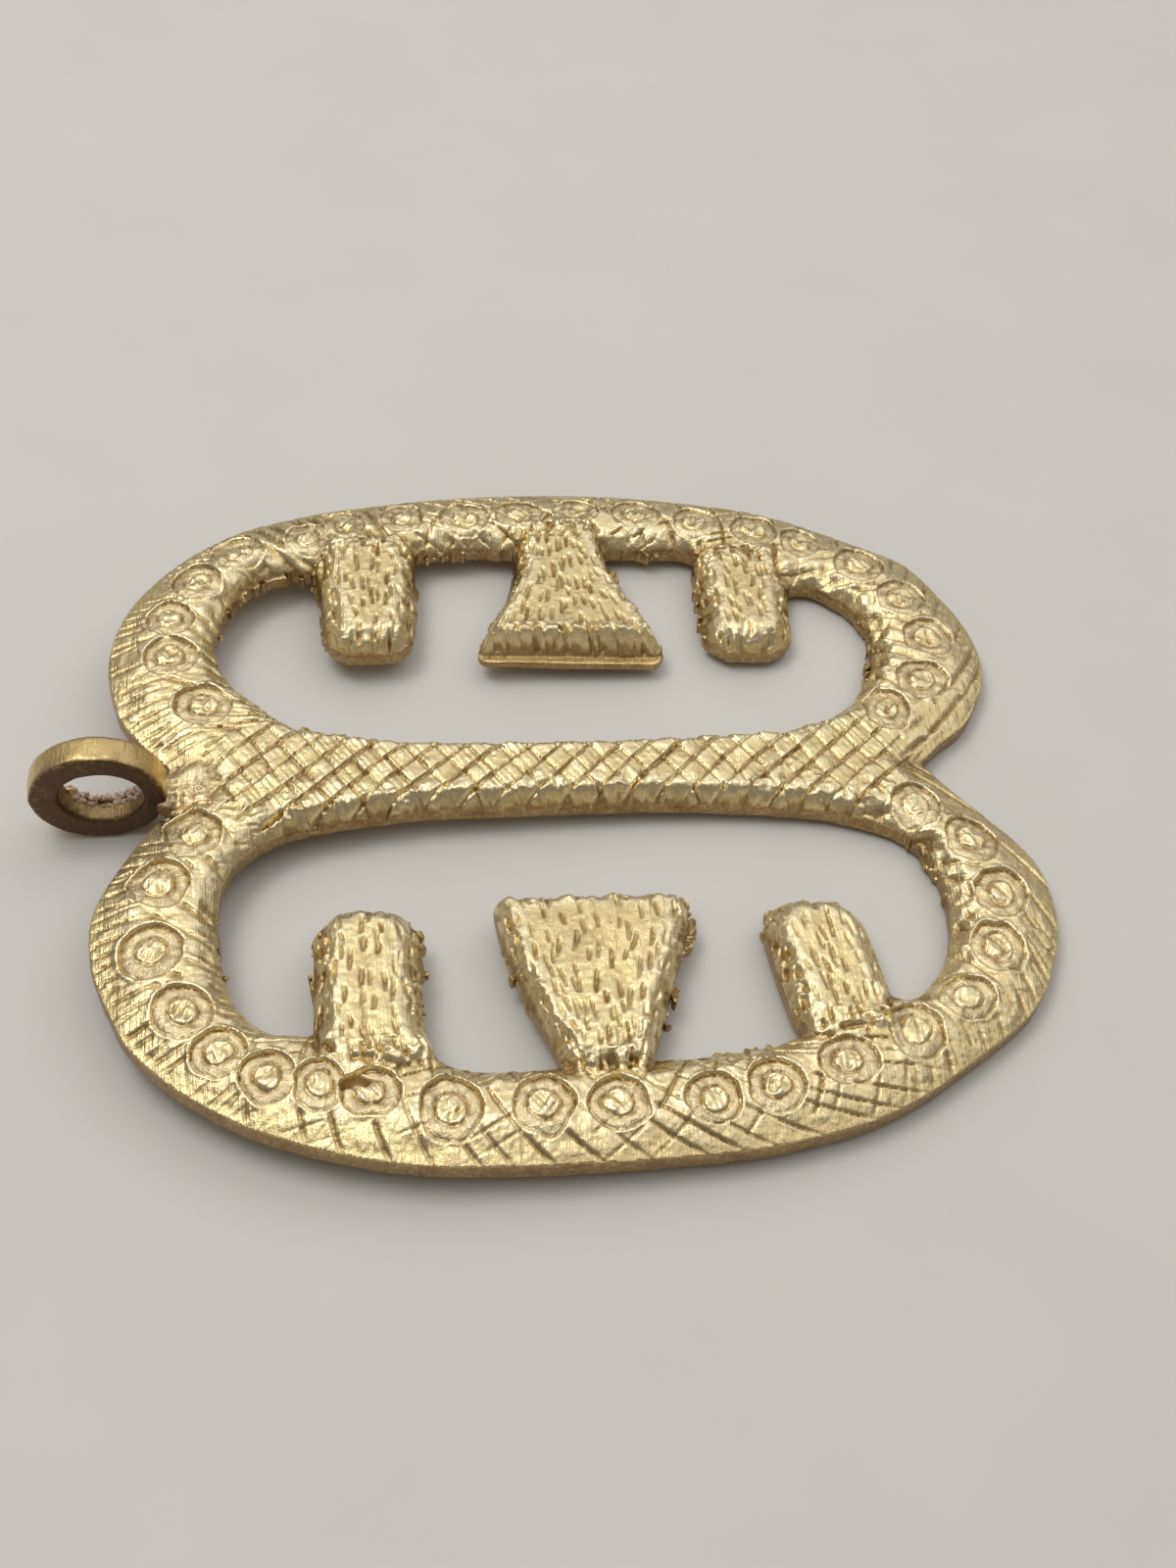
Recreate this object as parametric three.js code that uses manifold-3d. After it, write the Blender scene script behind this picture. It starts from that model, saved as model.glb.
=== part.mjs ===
// A cast brass adinkra pendant: two oval lobes that share a tongue bar, three teeth in each
// lobe that point at the bar, and a small upright bail ring on a rough neck at the left waist.
//
// Units are millimetres. +X runs along the bar away from the bail, +Y crosses the bar in the
// plane of the pendant, and +Z comes out of the decorated front. The flat back lies at z = 0,
// and the origin is on it, in the middle of the pendant.
//
// The real pendant is one casting. Its pieces here are the pieces that were joined in wax, each
// parted from its neighbours at a flat face, so that they meet face to face.

import * as THREE from 'three';
import { mergeVertices } from 'three/addons/utils/BufferGeometryUtils.js';
import Module from 'manifold-3d';

const wasm = await Module();
wasm.setup();

// Lobes, the same above and below the bar
const lobeHalfLength = 42.4;
const lobeLevel = 15.8;
const lobeCrown = 23.5;
const lobeFlank = 24.5;
const crownFullness = 2.2;
const flankFullness = 2.0;

// Bands, the flattened loops that are left round each window
const bandCrownWidth = 8.7;
const bandSideWidth = 10.6;
const bandWall = 1.9;
const bandCrest = 3.3;
const bandShoulder = 3.6;
const bandBulge = 1.35;
const windowShoulder = 2.7;

// Rosettes, stamped into the bands: a sunk ring round a pellet
const rosetteRadius = 2.35;
const pelletRadius = 1.35;
const rosetteDepth = 0.2;
const rosetteFloorMargin = 0.3;

// Where the rosettes are: turn round the lobe in degrees, and share of the band's width in from
// its edge
const upperRosettes = [
    [-180, 0.61], [-158, 0.69], [-30, 0.64], [-16, 0.53], [0, 0.50], [17, 0.51], [33, 0.46],
    [47, 0.49], [56, 0.48], [67, 0.52], [76, 0.48], [85, 0.48], [92, 0.53], [100, 0.57],
    [109, 0.44], [118, 0.41], [125, 0.50], [138, 0.35], [151, 0.43], [167, 0.51],
];
const lowerRosettes = [
    [-175, 0.54], [-156, 0.54], [-143, 0.45], [-133, 0.42], [-125, 0.50], [-118, 0.54],
    [-108, 0.50], [-97, 0.58], [-89, 0.56], [-79, 0.52], [-71, 0.54], [-60, 0.59], [-46, 0.60],
    [-33, 0.57], [-15, 0.57], [2, 0.52], [20, 0.44], [33, 0.47], [150, 0.37], [165, 0.48],
];

// Tongue bar, shared by both lobes, a little above the middle
const barWidth = 7.8;
const barLift = 1.1;
const barReach = 27.0;
const waistLevel = 0.7;

// How square each corner of a window is: 2 is an ellipse, and more is squarer
const upperWindowFullness = { upperRight: 2.1, upperLeft: 2.8, lowerLeft: 2.5, lowerRight: 3.3 };
const lowerWindowFullness = { upperRight: 3.2, upperLeft: 3.6, lowerLeft: 2.7, lowerRight: 2.5 };

// Side teeth, straight with a rounded tip
const sideToothWidth = 8.8;
const sideToothGap = 11.2;
const sideToothCorner = 3.2;
const upperLeftToothX = -17.3;
const upperRightToothX = 19.7;
const lowerLeftToothX = -18.9;
const lowerRightToothX = 20.1;

// Middle teeth, which flare towards the bar
const middleToothTipWidth = 17.0;
const middleToothRootWidth = 8.8;
const middleToothGap = 10.1;
const middleToothCorner = 1.6;
const upperMiddleToothX = 1.9;
const lowerMiddleToothX = 0.6;

// Every tooth has the same section and the same short root on the band
const toothWall = 1.9;
const toothCrest = 3.4;
const toothShoulder = 2.0;
const toothBulge = 2.0;
const toothRootStub = 0.4;
const toothRootOverlap = 3.4;

// Smallest corner that a rounded outline keeps as it is drawn in
const smallestRadius = 0.35;

// Thin lip that stands out under the tip of the upper middle tooth
const lipWidth = 1.0;
const lipThickness = 0.9;

// Bail ring, an upright oval ring whose bore runs along Y
const ringLength = 12.2;
const ringHeight = 11.0;
const ringWall = 2.5;
const ringWidth = 3.0;
const ringEdgeRound = 0.45;
const ringSeatDepth = 0.8;
const ringY = 0.3;
const ringZ = 2.5;

// Neck, the blob that carries the ring in the notch between the lobes
const neckLength = 3.1;
const neckWidth = 4.2;
const neckCrest = 3.6;
const neckWall = 1.8;
const neckShoulder = 1.6;
const neckBulge = 2.0;
const neckCorner = 1.8;
const neckBedDepth = 0.6;
const neckBedMargin = 0.8;

// Facet counts
const lobeFacets = 88;
const windowFacets = 72;
const shoulderSteps = 4;
const cornerSteps = 6;
const rosetteFacets = 14;
const ringFacets = 56;
const ringEdgeSteps = 3;

const brass = { metalness: 1.0, roughness: 0.38 };
const bandColour = 0xcdb878;
const barColour = 0xc4ad6c;
const toothColour = 0xc9b374;
const ringColour = 0xa8843f;
const neckColour = 0xb89c5e;

// Sizes that follow from the driving ones
const upperBarEdge = barLift + barWidth / 2;
const lowerBarEdge = barLift - barWidth / 2;
const windowEnd = lobeLevel + lobeCrown - bandCrownWidth;
const windowHalfLength = lobeHalfLength - bandSideWidth;
const upperWindow = windowBetween(upperBarEdge, windowEnd, upperWindowFullness);
const lowerWindow = windowBetween(-windowEnd, lowerBarEdge, lowerWindowFullness);
const upperNotchX = flankReach(lobeLevel - waistLevel);
const lowerNotchX = flankReach(lobeLevel + waistLevel);
const notchX = -Math.max(upperNotchX, lowerNotchX);
const ringSeatX = notchX - neckLength;
const ringX = ringSeatX + ringSeatDepth - ringLength / 2;
const farAway = 4 * (lobeHalfLength + lobeCrown + ringLength);

// A window's oval, from its lowest to its highest edge
function windowBetween(low, high, fullness) {
    return {
        level: (low + high) / 2,
        halfLength: windowHalfLength,
        above: (high - low) / 2,
        below: (high - low) / 2,
        fullness,
    };
}

// How far along X the flank of a lobe still reaches, at a distance from its widest line
function flankReach(distance) {
    const share = Math.min(1, distance / lobeFlank) ** flankFullness;
    return lobeHalfLength * (1 - share) ** (1 / flankFullness);
}

// Outline functions give the points of a closed outline, counter-clockwise, drawn in by an inset

function ovalPoint(oval, inset, turn) {
    const c = Math.cos(turn);
    const s = Math.sin(turn);
    const side = s >= 0 ? 'upper' : 'lower';
    const power = 2 / oval.fullness[side + (c >= 0 ? 'Right' : 'Left')];
    const height = (s >= 0 ? oval.above : oval.below) - inset;
    return new THREE.Vector2(
        (oval.halfLength - inset) * Math.sign(c) * Math.abs(c) ** power,
        oval.level + height * Math.sign(s) * Math.abs(s) ** power,
    );
}

function ovalOutline(oval, inset, facets) {
    const points = [];
    for (let i = 0; i < facets; i += 1) {
        points.push(ovalPoint(oval, inset, (2 * Math.PI * i) / facets));
    }
    return points;
}

function roundedOutline(corners, radius, inset) {
    const area = THREE.ShapeUtils.area(corners);
    const turn = area > 0 ? corners : [...corners].reverse();
    const arc = Math.max(radius - inset, smallestRadius);
    const points = [];
    turn.forEach((corner, i) => {
        const before = turn[(i + turn.length - 1) % turn.length];
        const after = turn[(i + 1) % turn.length];
        const into = corner.clone().sub(before).normalize();
        const out = after.clone().sub(corner).normalize();
        const half = Math.acos(THREE.MathUtils.clamp(into.dot(out), -1, 1)) / 2;
        const inward = out.clone().sub(into).normalize();
        const centre = corner.clone().addScaledVector(inward, (inset + arc) / Math.cos(half));
        const start = Math.atan2(-into.x, into.y);
        for (let k = 0; k <= cornerSteps; k += 1) {
            const angle = start + (2 * half * k) / cornerSteps;
            points.push(new THREE.Vector2(
                centre.x + arc * Math.cos(angle),
                centre.y + arc * Math.sin(angle),
            ));
        }
    });
    return points;
}

// Section of a flattened coil: a low upright wall, then a shoulder that rises to the crest, as
// part of an oval at a bulge of 2 and straight as a chamfer at a bulge of 1. The inner shoulder,
// beside a window, is part of an oval.
function coilSection(wall, crest, shoulder, bulge, innerShoulder = shoulder) {
    const power = 2 / bulge;
    const levels = [{ z: 0, inset: 0, windowInset: 0 }];
    for (let i = 0; i <= shoulderSteps; i += 1) {
        const angle = (Math.PI / 2) * (i / shoulderSteps);
        const rise = Math.sin(angle) ** power;
        levels.push({
            z: wall + (crest - wall) * rise,
            inset: shoulder * (1 - Math.abs(Math.cos(angle)) ** power),
            windowInset: innerShoulder * (1 - Math.sqrt(1 - rise ** 2)),
        });
    }
    return levels;
}

// Closed body over a flat back, whose outer outline draws in and whose window opens level by level
function domedGeometry(levels, outer, window) {
    const contours = [levels.map(({ inset }) => outer(inset))];
    if (window) {
        contours.push(levels.map(({ windowInset }) => window(-windowInset).reverse()));
    }
    const positions = [];
    const index = [];
    const starts = contours.map((rings) => rings.map((ring, i) => {
        const start = positions.length / 3;
        ring.forEach((point) => positions.push(point.x, point.y, levels[i].z));
        return start;
    }));
    contours.forEach((rings, c) => {
        for (let i = 0; i + 1 < rings.length; i += 1) {
            const count = rings[i].length;
            for (let k = 0; k < count; k += 1) {
                const next = (k + 1) % count;
                const low = starts[c][i];
                const high = starts[c][i + 1];
                index.push(low + k, low + next, high + next);
                index.push(low + k, high + next, high + k);
            }
        }
    });
    const last = levels.length - 1;
    addCap(index, contours, starts, last, false);
    addCap(index, contours, starts, 0, true);
    const geometry = new THREE.BufferGeometry();
    geometry.setAttribute('position', new THREE.Float32BufferAttribute(positions, 3));
    geometry.setIndex(index);
    return geometry;
}

function addCap(index, contours, starts, level, facesDown) {
    const rings = contours.map((each) => each[level]);
    const places = [];
    rings.forEach((ring, c) => ring.forEach((point, k) => places.push(starts[c][level] + k)));
    THREE.ShapeUtils.triangulateShape(rings[0], rings.slice(1)).forEach((face) => {
        const [a, b, c] = face.map((corner) => places[corner]);
        if (facesDown) {
            index.push(a, c, b);
        } else {
            index.push(a, b, c);
        }
    });
}

// Solids: joined and cut as closed meshes with shared vertices

function toSolid(geometry) {
    const bare = geometry.clone();
    bare.deleteAttribute('normal');
    bare.deleteAttribute('uv');
    const merged = mergeVertices(bare, 1e-5);
    return new wasm.Manifold(new wasm.Mesh({
        numProp: 3,
        vertProperties: merged.attributes.position.array,
        triVerts: new Uint32Array(merged.index.array),
    }));
}

function toGeometry(solid) {
    const mesh = solid.getMesh();
    const geometry = new THREE.BufferGeometry();
    geometry.setAttribute('position', new THREE.BufferAttribute(new Float32Array(mesh.vertProperties), 3));
    geometry.setIndex(new THREE.BufferAttribute(new Uint32Array(mesh.triVerts), 1));
    geometry.computeVertexNormals();
    return geometry;
}

// Block that runs through the whole thickness, between two limits along X and two along Y.
// Its corners take the limits as they are, so that two blocks with one limit meet exactly.
function block(fromX, toX, fromY, toY) {
    const geometry = new THREE.BoxGeometry(1, 1, 1);
    const corners = geometry.attributes.position;
    for (let i = 0; i < corners.count; i += 1) {
        corners.setXYZ(
            i,
            corners.getX(i) < 0 ? fromX : toX,
            corners.getY(i) < 0 ? fromY : toY,
            corners.getZ(i) < 0 ? -farAway : farAway,
        );
    }
    return toSolid(geometry);
}

const aboveLevel = (y) => block(-farAway, farAway, y, farAway);
const belowLevel = (y) => block(-farAway, farAway, -farAway, y);
const leftOf = (x) => block(-farAway, x, -farAway, farAway);

function lobeOval(side) {
    return {
        level: side * lobeLevel,
        halfLength: lobeHalfLength,
        above: side > 0 ? lobeCrown : lobeFlank,
        below: side > 0 ? lobeFlank : lobeCrown,
        fullness: {
            upperRight: side > 0 ? crownFullness : flankFullness,
            upperLeft: side > 0 ? crownFullness : flankFullness,
            lowerRight: side > 0 ? flankFullness : crownFullness,
            lowerLeft: side > 0 ? flankFullness : crownFullness,
        },
    };
}

// Lobes: an oval loop of flattened wax round its window, which may be sunk as a whole
function lobeSolid(side, window, sunk = 0) {
    const geometry = domedGeometry(
        coilSection(bandWall, bandCrest, bandShoulder, bandBulge, windowShoulder),
        (inset) => ovalOutline(lobeOval(side), inset, lobeFacets),
        (inset) => ovalOutline(window, inset, windowFacets),
    );
    return toSolid(geometry.translate(0, 0, -sunk));
}

// Upright rod that starts at a level inside a band and ends far above it
function rodSolid(place, radius, level) {
    const geometry = new THREE.CylinderGeometry(radius, radius, farAway, rosetteFacets);
    geometry.rotateX(Math.PI / 2);
    geometry.translate(place.x, place.y, level + farAway / 2);
    return toSolid(geometry);
}

// Band with its rosettes: each ring is as deep on the band's shoulders as on its crown
function stampedBand(band, side, window, rosettes) {
    const oval = lobeOval(side);
    const sunkLobe = lobeSolid(side, window, rosetteDepth);
    const ringStart = bandWall / 2;
    const floorStart = ringStart / 2;
    return rosettes.reduce((solid, [degrees, share]) => {
        const turn = THREE.MathUtils.degToRad(degrees);
        const width = bandSideWidth * Math.cos(turn) ** 2 + bandCrownWidth * Math.sin(turn) ** 2;
        const place = ovalPoint(oval, share * width, turn);
        const pellet = rodSolid(place, pelletRadius, floorStart);
        const ring = rodSolid(place, rosetteRadius, ringStart).subtract(pellet);
        const floor = rodSolid(place, rosetteRadius + rosetteFloorMargin, floorStart);
        return solid.subtract(ring).add(sunkLobe.intersect(floor));
    }, band);
}

// Level at which a window's outer half stands at a distance along X
function windowEdge(side, window, x) {
    const corner = (side > 0 ? 'upper' : 'lower') + (x >= 0 ? 'Right' : 'Left');
    const fullness = window.fullness[corner];
    const share = Math.min(1, Math.abs(x) / window.halfLength) ** fullness;
    return window.level + side * window.above * (1 - share) ** (1 / fullness);
}

// Teeth: the tip stands off the bar by its gap, and the root runs into the band
function toothParts(side, window, place) {
    const barEdge = side > 0 ? upperBarEdge : lowerBarEdge;
    const lip = place.lip ? lipWidth : 0;
    const tip = barEdge + side * (place.gap + lip);
    const seam = side * Math.min(
        side * windowEdge(side, window, place.x - place.rootWidth / 2),
        side * windowEdge(side, window, place.x + place.rootWidth / 2),
    ) - side * toothRootStub;
    const root = seam + side * toothRootOverlap;
    const spread = (place.tipWidth - place.rootWidth) / 2;
    const rootHalf = place.rootWidth / 2 - (spread * toothRootOverlap) / Math.abs(seam - tip);
    const corners = [
        new THREE.Vector2(place.x - place.tipWidth / 2, tip),
        new THREE.Vector2(place.x + place.tipWidth / 2, tip),
        new THREE.Vector2(place.x + rootHalf, root),
        new THREE.Vector2(place.x - rootHalf, root),
    ];
    let whole = toSolid(domedGeometry(
        coilSection(toothWall, toothCrest, toothShoulder, toothBulge),
        (inset) => roundedOutline(corners, place.corner, inset),
    ));
    if (place.lip) {
        const edge = barEdge + side * place.gap;
        const lipCorners = corners.map((corner, i) => (i < 2
            ? new THREE.Vector2(corner.x, edge)
            : corner));
        whole = whole.add(toSolid(domedGeometry(
            [{ z: 0, inset: 0 }, { z: lipThickness, inset: 0 }],
            (inset) => roundedOutline(lipCorners, place.corner, inset),
        )));
    }
    const outside = side > 0 ? aboveLevel(seam) : belowLevel(seam);
    return { tooth: whole.subtract(outside), stub: whole.intersect(outside) };
}

function sideTooth(side, window, x) {
    return toothParts(side, window, {
        x,
        gap: sideToothGap,
        tipWidth: sideToothWidth,
        rootWidth: sideToothWidth,
        corner: sideToothCorner,
    });
}

function middleTooth(side, window, x, lip) {
    return toothParts(side, window, {
        x,
        gap: middleToothGap,
        tipWidth: middleToothTipWidth,
        rootWidth: middleToothRootWidth,
        corner: middleToothCorner,
        lip,
    });
}

// Neck: a blob across the notch, from the ring's seat to its bed between the lobes
const neckBed = notchX + neckBedDepth;

function neckBlob() {
    const low = ringY - neckWidth / 2 - neckBedMargin;
    const high = ringY + neckWidth / 2 + neckBedMargin;
    const left = ringSeatX - neckCorner;
    const right = neckBed + neckBedMargin;
    const corners = [
        new THREE.Vector2(left, low),
        new THREE.Vector2(right, low),
        new THREE.Vector2(right, high),
        new THREE.Vector2(left, high),
    ];
    const blob = toSolid(domedGeometry(
        coilSection(neckWall, neckCrest, neckShoulder, neckBulge),
        (inset) => roundedOutline(corners, neckCorner, inset),
    ));
    return blob.subtract(leftOf(ringSeatX));
}

// Bail ring: a flat band with softly rounded edges, turned about the bore and drawn a little oval
function bailRing() {
    const outer = ringLength / 2;
    const inner = outer - ringWall;
    const half = ringWidth / 2;
    const profile = [];
    const addEdge = (x, y, start) => {
        for (let i = 0; i <= ringEdgeSteps; i += 1) {
            const angle = start + (Math.PI / 2) * (i / ringEdgeSteps);
            profile.push(new THREE.Vector2(
                x + ringEdgeRound * Math.cos(angle),
                y + ringEdgeRound * Math.sin(angle),
            ));
        }
    };
    addEdge(outer - ringEdgeRound, -half + ringEdgeRound, -Math.PI / 2);
    addEdge(outer - ringEdgeRound, half - ringEdgeRound, 0);
    addEdge(inner + ringEdgeRound, half - ringEdgeRound, Math.PI / 2);
    addEdge(inner + ringEdgeRound, -half + ringEdgeRound, Math.PI);
    profile.push(profile[0].clone());
    const geometry = new THREE.LatheGeometry(profile, ringFacets);
    geometry.scale(1, 1, ringHeight / ringLength);
    geometry.translate(ringX, ringY, ringZ);
    return toSolid(geometry).intersect(leftOf(ringSeatX));
}

const pendant = new THREE.Group();

function addPiece(name, solid, colour) {
    const material = new THREE.MeshStandardMaterial({ ...brass, color: colour });
    const mesh = new THREE.Mesh(toGeometry(solid), material);
    mesh.name = name;
    pendant.add(mesh);
}

// The loops are fused across the waist, and the bar and the neck are parted out of them
const upperHalf = lobeSolid(1, upperWindow).intersect(aboveLevel(waistLevel));
const lowerHalf = lobeSolid(-1, lowerWindow).intersect(belowLevel(waistLevel));
const loops = upperHalf.add(lowerHalf).add(neckBlob());
const barBlock = block(-barReach, barReach, lowerWindow.level, upperWindow.level);
const neckBlock = block(ringSeatX, neckBed, ringY - neckWidth / 2, ringY + neckWidth / 2);
const bands = loops.subtract(barBlock).subtract(neckBlock);

const teeth = {
    upper_left_tooth: sideTooth(1, upperWindow, upperLeftToothX),
    upper_middle_tooth: middleTooth(1, upperWindow, upperMiddleToothX, true),
    upper_right_tooth: sideTooth(1, upperWindow, upperRightToothX),
    lower_left_tooth: sideTooth(-1, lowerWindow, lowerLeftToothX),
    lower_middle_tooth: middleTooth(-1, lowerWindow, lowerMiddleToothX, false),
    lower_right_tooth: sideTooth(-1, lowerWindow, lowerRightToothX),
};

function bandWithStubs(half, prefix) {
    return Object.entries(teeth)
        .filter(([name]) => name.startsWith(prefix))
        .reduce((band, [, parts]) => band.add(parts.stub), bands.intersect(half));
}

const upperBand = bandWithStubs(aboveLevel(waistLevel), 'upper');
const lowerBand = bandWithStubs(belowLevel(waistLevel), 'lower');

addPiece('upper_lobe_band', stampedBand(upperBand, 1, upperWindow, upperRosettes), bandColour);
addPiece('lower_lobe_band', stampedBand(lowerBand, -1, lowerWindow, lowerRosettes), bandColour);
addPiece('tongue_bar', loops.intersect(barBlock), barColour);
Object.entries(teeth).forEach(([name, parts]) => addPiece(name, parts.tooth, toothColour));
addPiece('bail_neck', loops.intersect(neckBlock), neckColour);
addPiece('bail_ring', bailRing(), ringColour);

export default pendant;
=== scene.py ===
# Looks of a cast brass adinkra pendant, built round its imported model.
#
# The casting's face is one relief, a height over the plan on a fine grid in millimetres. It is cut
# along its real outline, parted where the model's nodes are, and closed by walls and a rough back.
# The bail ring, with the sand in it, is a mesh of its own; the edge crumbs join the relief's pieces.

from math import atan2, cos, hypot, pi, radians, sin

import bpy
import numpy as np
from mathutils import Matrix, Vector
from mathutils.geometry import delaunay_2d_cdt


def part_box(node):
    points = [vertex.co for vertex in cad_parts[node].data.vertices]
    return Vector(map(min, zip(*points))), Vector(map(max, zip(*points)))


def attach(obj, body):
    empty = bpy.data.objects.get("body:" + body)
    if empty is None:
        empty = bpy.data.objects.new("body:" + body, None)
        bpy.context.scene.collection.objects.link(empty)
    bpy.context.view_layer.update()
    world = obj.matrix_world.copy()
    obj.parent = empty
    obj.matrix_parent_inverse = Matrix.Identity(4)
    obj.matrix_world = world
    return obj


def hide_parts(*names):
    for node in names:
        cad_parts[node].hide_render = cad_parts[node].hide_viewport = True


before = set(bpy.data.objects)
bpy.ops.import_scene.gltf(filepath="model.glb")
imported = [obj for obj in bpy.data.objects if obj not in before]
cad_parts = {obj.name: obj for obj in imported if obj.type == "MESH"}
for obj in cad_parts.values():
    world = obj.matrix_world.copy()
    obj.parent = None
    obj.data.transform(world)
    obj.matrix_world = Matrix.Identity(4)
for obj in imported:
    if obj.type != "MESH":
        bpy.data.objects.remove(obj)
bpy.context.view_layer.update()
scene = bpy.context.scene

MM = 0.001
SEED = 11

# Camera, in the frame of the pendant, millimetres
CAMERA_PLACE = Vector((-21.107, -113.402, 138.054))
CAMERA_RIGHT = Vector((0.99126, -0.10563, 0.07906))
CAMERA_FORWARD = Vector((0.1283, 0.6329, -0.7636))
CAMERA_LENS = 45.0
CAMERA_SENSOR = 36.0
CAMERA_CLIP = 0.005

# Relief grid
STEP = 0.12
GRID_HALF_X = 43.2
GRID_HALF_Y = 40.2
COARSE = 4
SPLINE_STEPS = 6

# Outlines of the casting, read as places in the plan. The outer one is in two arcs that meet in
# the notches, each counter-clockwise.
UPPER_ARC = [
    (33.3, 0.8), (35.8, 3.2), (38.4, 5.2), (40.4, 8), (41.9, 11.2), (42.25, 14.6), (41.7, 18.4),
    (40.1, 22.5), (38.3, 26), (36.2, 28.3), (30, 32), (25, 34.6), (20, 36.2), (10, 38), (0, 38.55),
    (-10, 38.1), (-20, 36.6), (-25, 35.3), (-29.8, 33.5), (-34.8, 29.9), (-39, 24.9), (-41.1, 20.1),
    (-41.7, 15.1), (-40.8, 10.2), (-39.2, 7), (-36.5, 3.6), (-33.6, 1),
]
LOWER_ARC = [
    (-33.6, 0.4), (-35.2, -1.6), (-36.9, -3.8), (-39, -7.1), (-41.1, -11.3), (-41.9, -14.9),
    (-41.4, -18.8), (-40.2, -22.4), (-38.4, -26.2), (-35.6, -29.4), (-31.8, -32.4), (-28, -34.6),
    (-25, -35.9), (-20, -37.5), (-15, -38.5), (-10, -38.9), (0.4, -39.1), (10.6, -38.7),
    (15.7, -38), (20.8, -36.8), (25.9, -34.7), (30.9, -31.6), (35.6, -28.3), (38.3, -25.6),
    (40.2, -22.3), (41.4, -19.1), (41.9, -15.8), (41.6, -12.2), (40.4, -9.2), (38.1, -6),
    (35.6, -2.7), (33.8, 0.1),
]
UPPER_WINDOW = [
    (32, 17.6), (31.2, 13.7), (29.6, 10.4), (27.6, 8.1), (25, 6.7), (22.6, 6), (20, 5.3), (10, 4.9),
    (0, 4.8), (-10, 5.1), (-15, 5.4), (-20, 6.3), (-24.9, 7.7), (-27.8, 10.2), (-30.5, 13.2),
    (-32, 17.4), (-31.5, 20.6), (-30.3, 23.7), (-28.9, 26), (-27.3, 27.3), (-24.7, 28),
    (-22.4, 27.9), (-17, 29.4), (-12.1, 30.3), (-7.8, 30.8), (-2.7, 30.7), (7.5, 30.5),
    (10.6, 30.3), (15.5, 29.7), (20, 26.8), (24.6, 24.7), (26.5, 24.7), (28.5, 23.5), (30.2, 21.9),
    (31.5, 19.9),
]
LOWER_WINDOW = [
    (32.4, -14.2), (32.1, -11.4), (31.2, -8.9), (29.8, -7.3), (28, -6.1), (25.8, -5.2),
    (22.9, -4.3), (17.6, -3.6), (10.6, -2.9), (0.4, -2.7), (-9.8, -2.8), (-14.9, -3), (-20, -3.6),
    (-25.1, -4.7), (-28.4, -6.6), (-30.3, -9.2), (-31.2, -12.3), (-31.3, -15.6), (-30.9, -19.4),
    (-30.1, -21.9), (-28.5, -24.4), (-26.7, -25.6), (-25, -25.8), (-19, -27.5), (-13.5, -29.2),
    (-10, -30.2), (-4.2, -30.3), (4.3, -30), (12, -29.5), (15, -28.9), (20, -27), (25, -25),
    (26.5, -25.1), (27.9, -24.6), (29.9, -22.6), (31.2, -20.3), (32.1, -17.3),
]

# Teeth: each side at a few levels, as (level, left, right), the level of the tip at its left and
# right corner, the corner's radius, and the level inside the band where the tooth ends
TEETH = {
    "upper_left_tooth": dict(
        sides=[(16.6, -21.3, -13.3), (20.3, -21.6, -12.9), (25, -22.1, -12.6), (33, -22.6, -12.2)],
        tip=(16.7, 16.6), corner=2.4, root=31.5),
    "upper_middle_tooth": dict(
        sides=[(16, -7.2, 10.9), (17.6, -6.5, 10.5), (20.5, -5.3, 9.6), (23.9, -3.5, 7.9),
               (28.1, -2.4, 6.8), (35, -1.6, 5.8)],
        tip=(16.9, 16.1), corner=0.9, root=33.6),
    "upper_right_tooth": dict(
        sides=[(15.7, 15.7, 23.9), (20.3, 15.4, 24.2), (24, 15.4, 24.6), (32, 15.4, 24.4)],
        tip=(15.7, 15.8), corner=2.7, root=29.5),
    "lower_left_tooth": dict(
        sides=[(-13.6, -23.3, -14.3), (-18.8, -23.3, -14.3), (-24.6, -23.4, -14.5),
               (-27, -23.5, -14), (-29.5, -23.8, -12.6), (-33, -24, -11.6)],
        tip=(-13.7, -13.6), corner=3.7, root=-30),
    "lower_middle_tooth": dict(
        sides=[(-13, -8, 9.2), (-16.5, -7.6, 8.9), (-20, -6.9, 7.8), (-23.6, -5.7, 6.4),
               (-29, -3.7, 4.4), (-33, -3.2, 3.6)],
        tip=(-13, -13.2), corner=1.5, root=-31.4),
    "lower_right_tooth": dict(
        sides=[(-14.4, 15, 24.3), (-18, 15.4, 24.5), (-24.3, 16.1, 25.2), (-33, 17, 26.6)],
        tip=(-14.4, -14.5), corner=3.7, root=-29),
}
# The tooth with a lip under its tip: the lip's own tip and corner, its height, the line on the
# tooth where it begins, as (level, climb), and the levels between which the tip is notched
LIP_TOOTH = "upper_middle_tooth"
LIP_TIP = (15.9, 14.95)
LIP_CORNER = 1.3
LIP_HEIGHT = 0.9
LIP_LINE = (16.9, 0.08)
TIP_BAND = (14, 22)
LIP_RIDGE = dict(place=1.05, half=0.7, height=0.4, notches=0.75)

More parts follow.
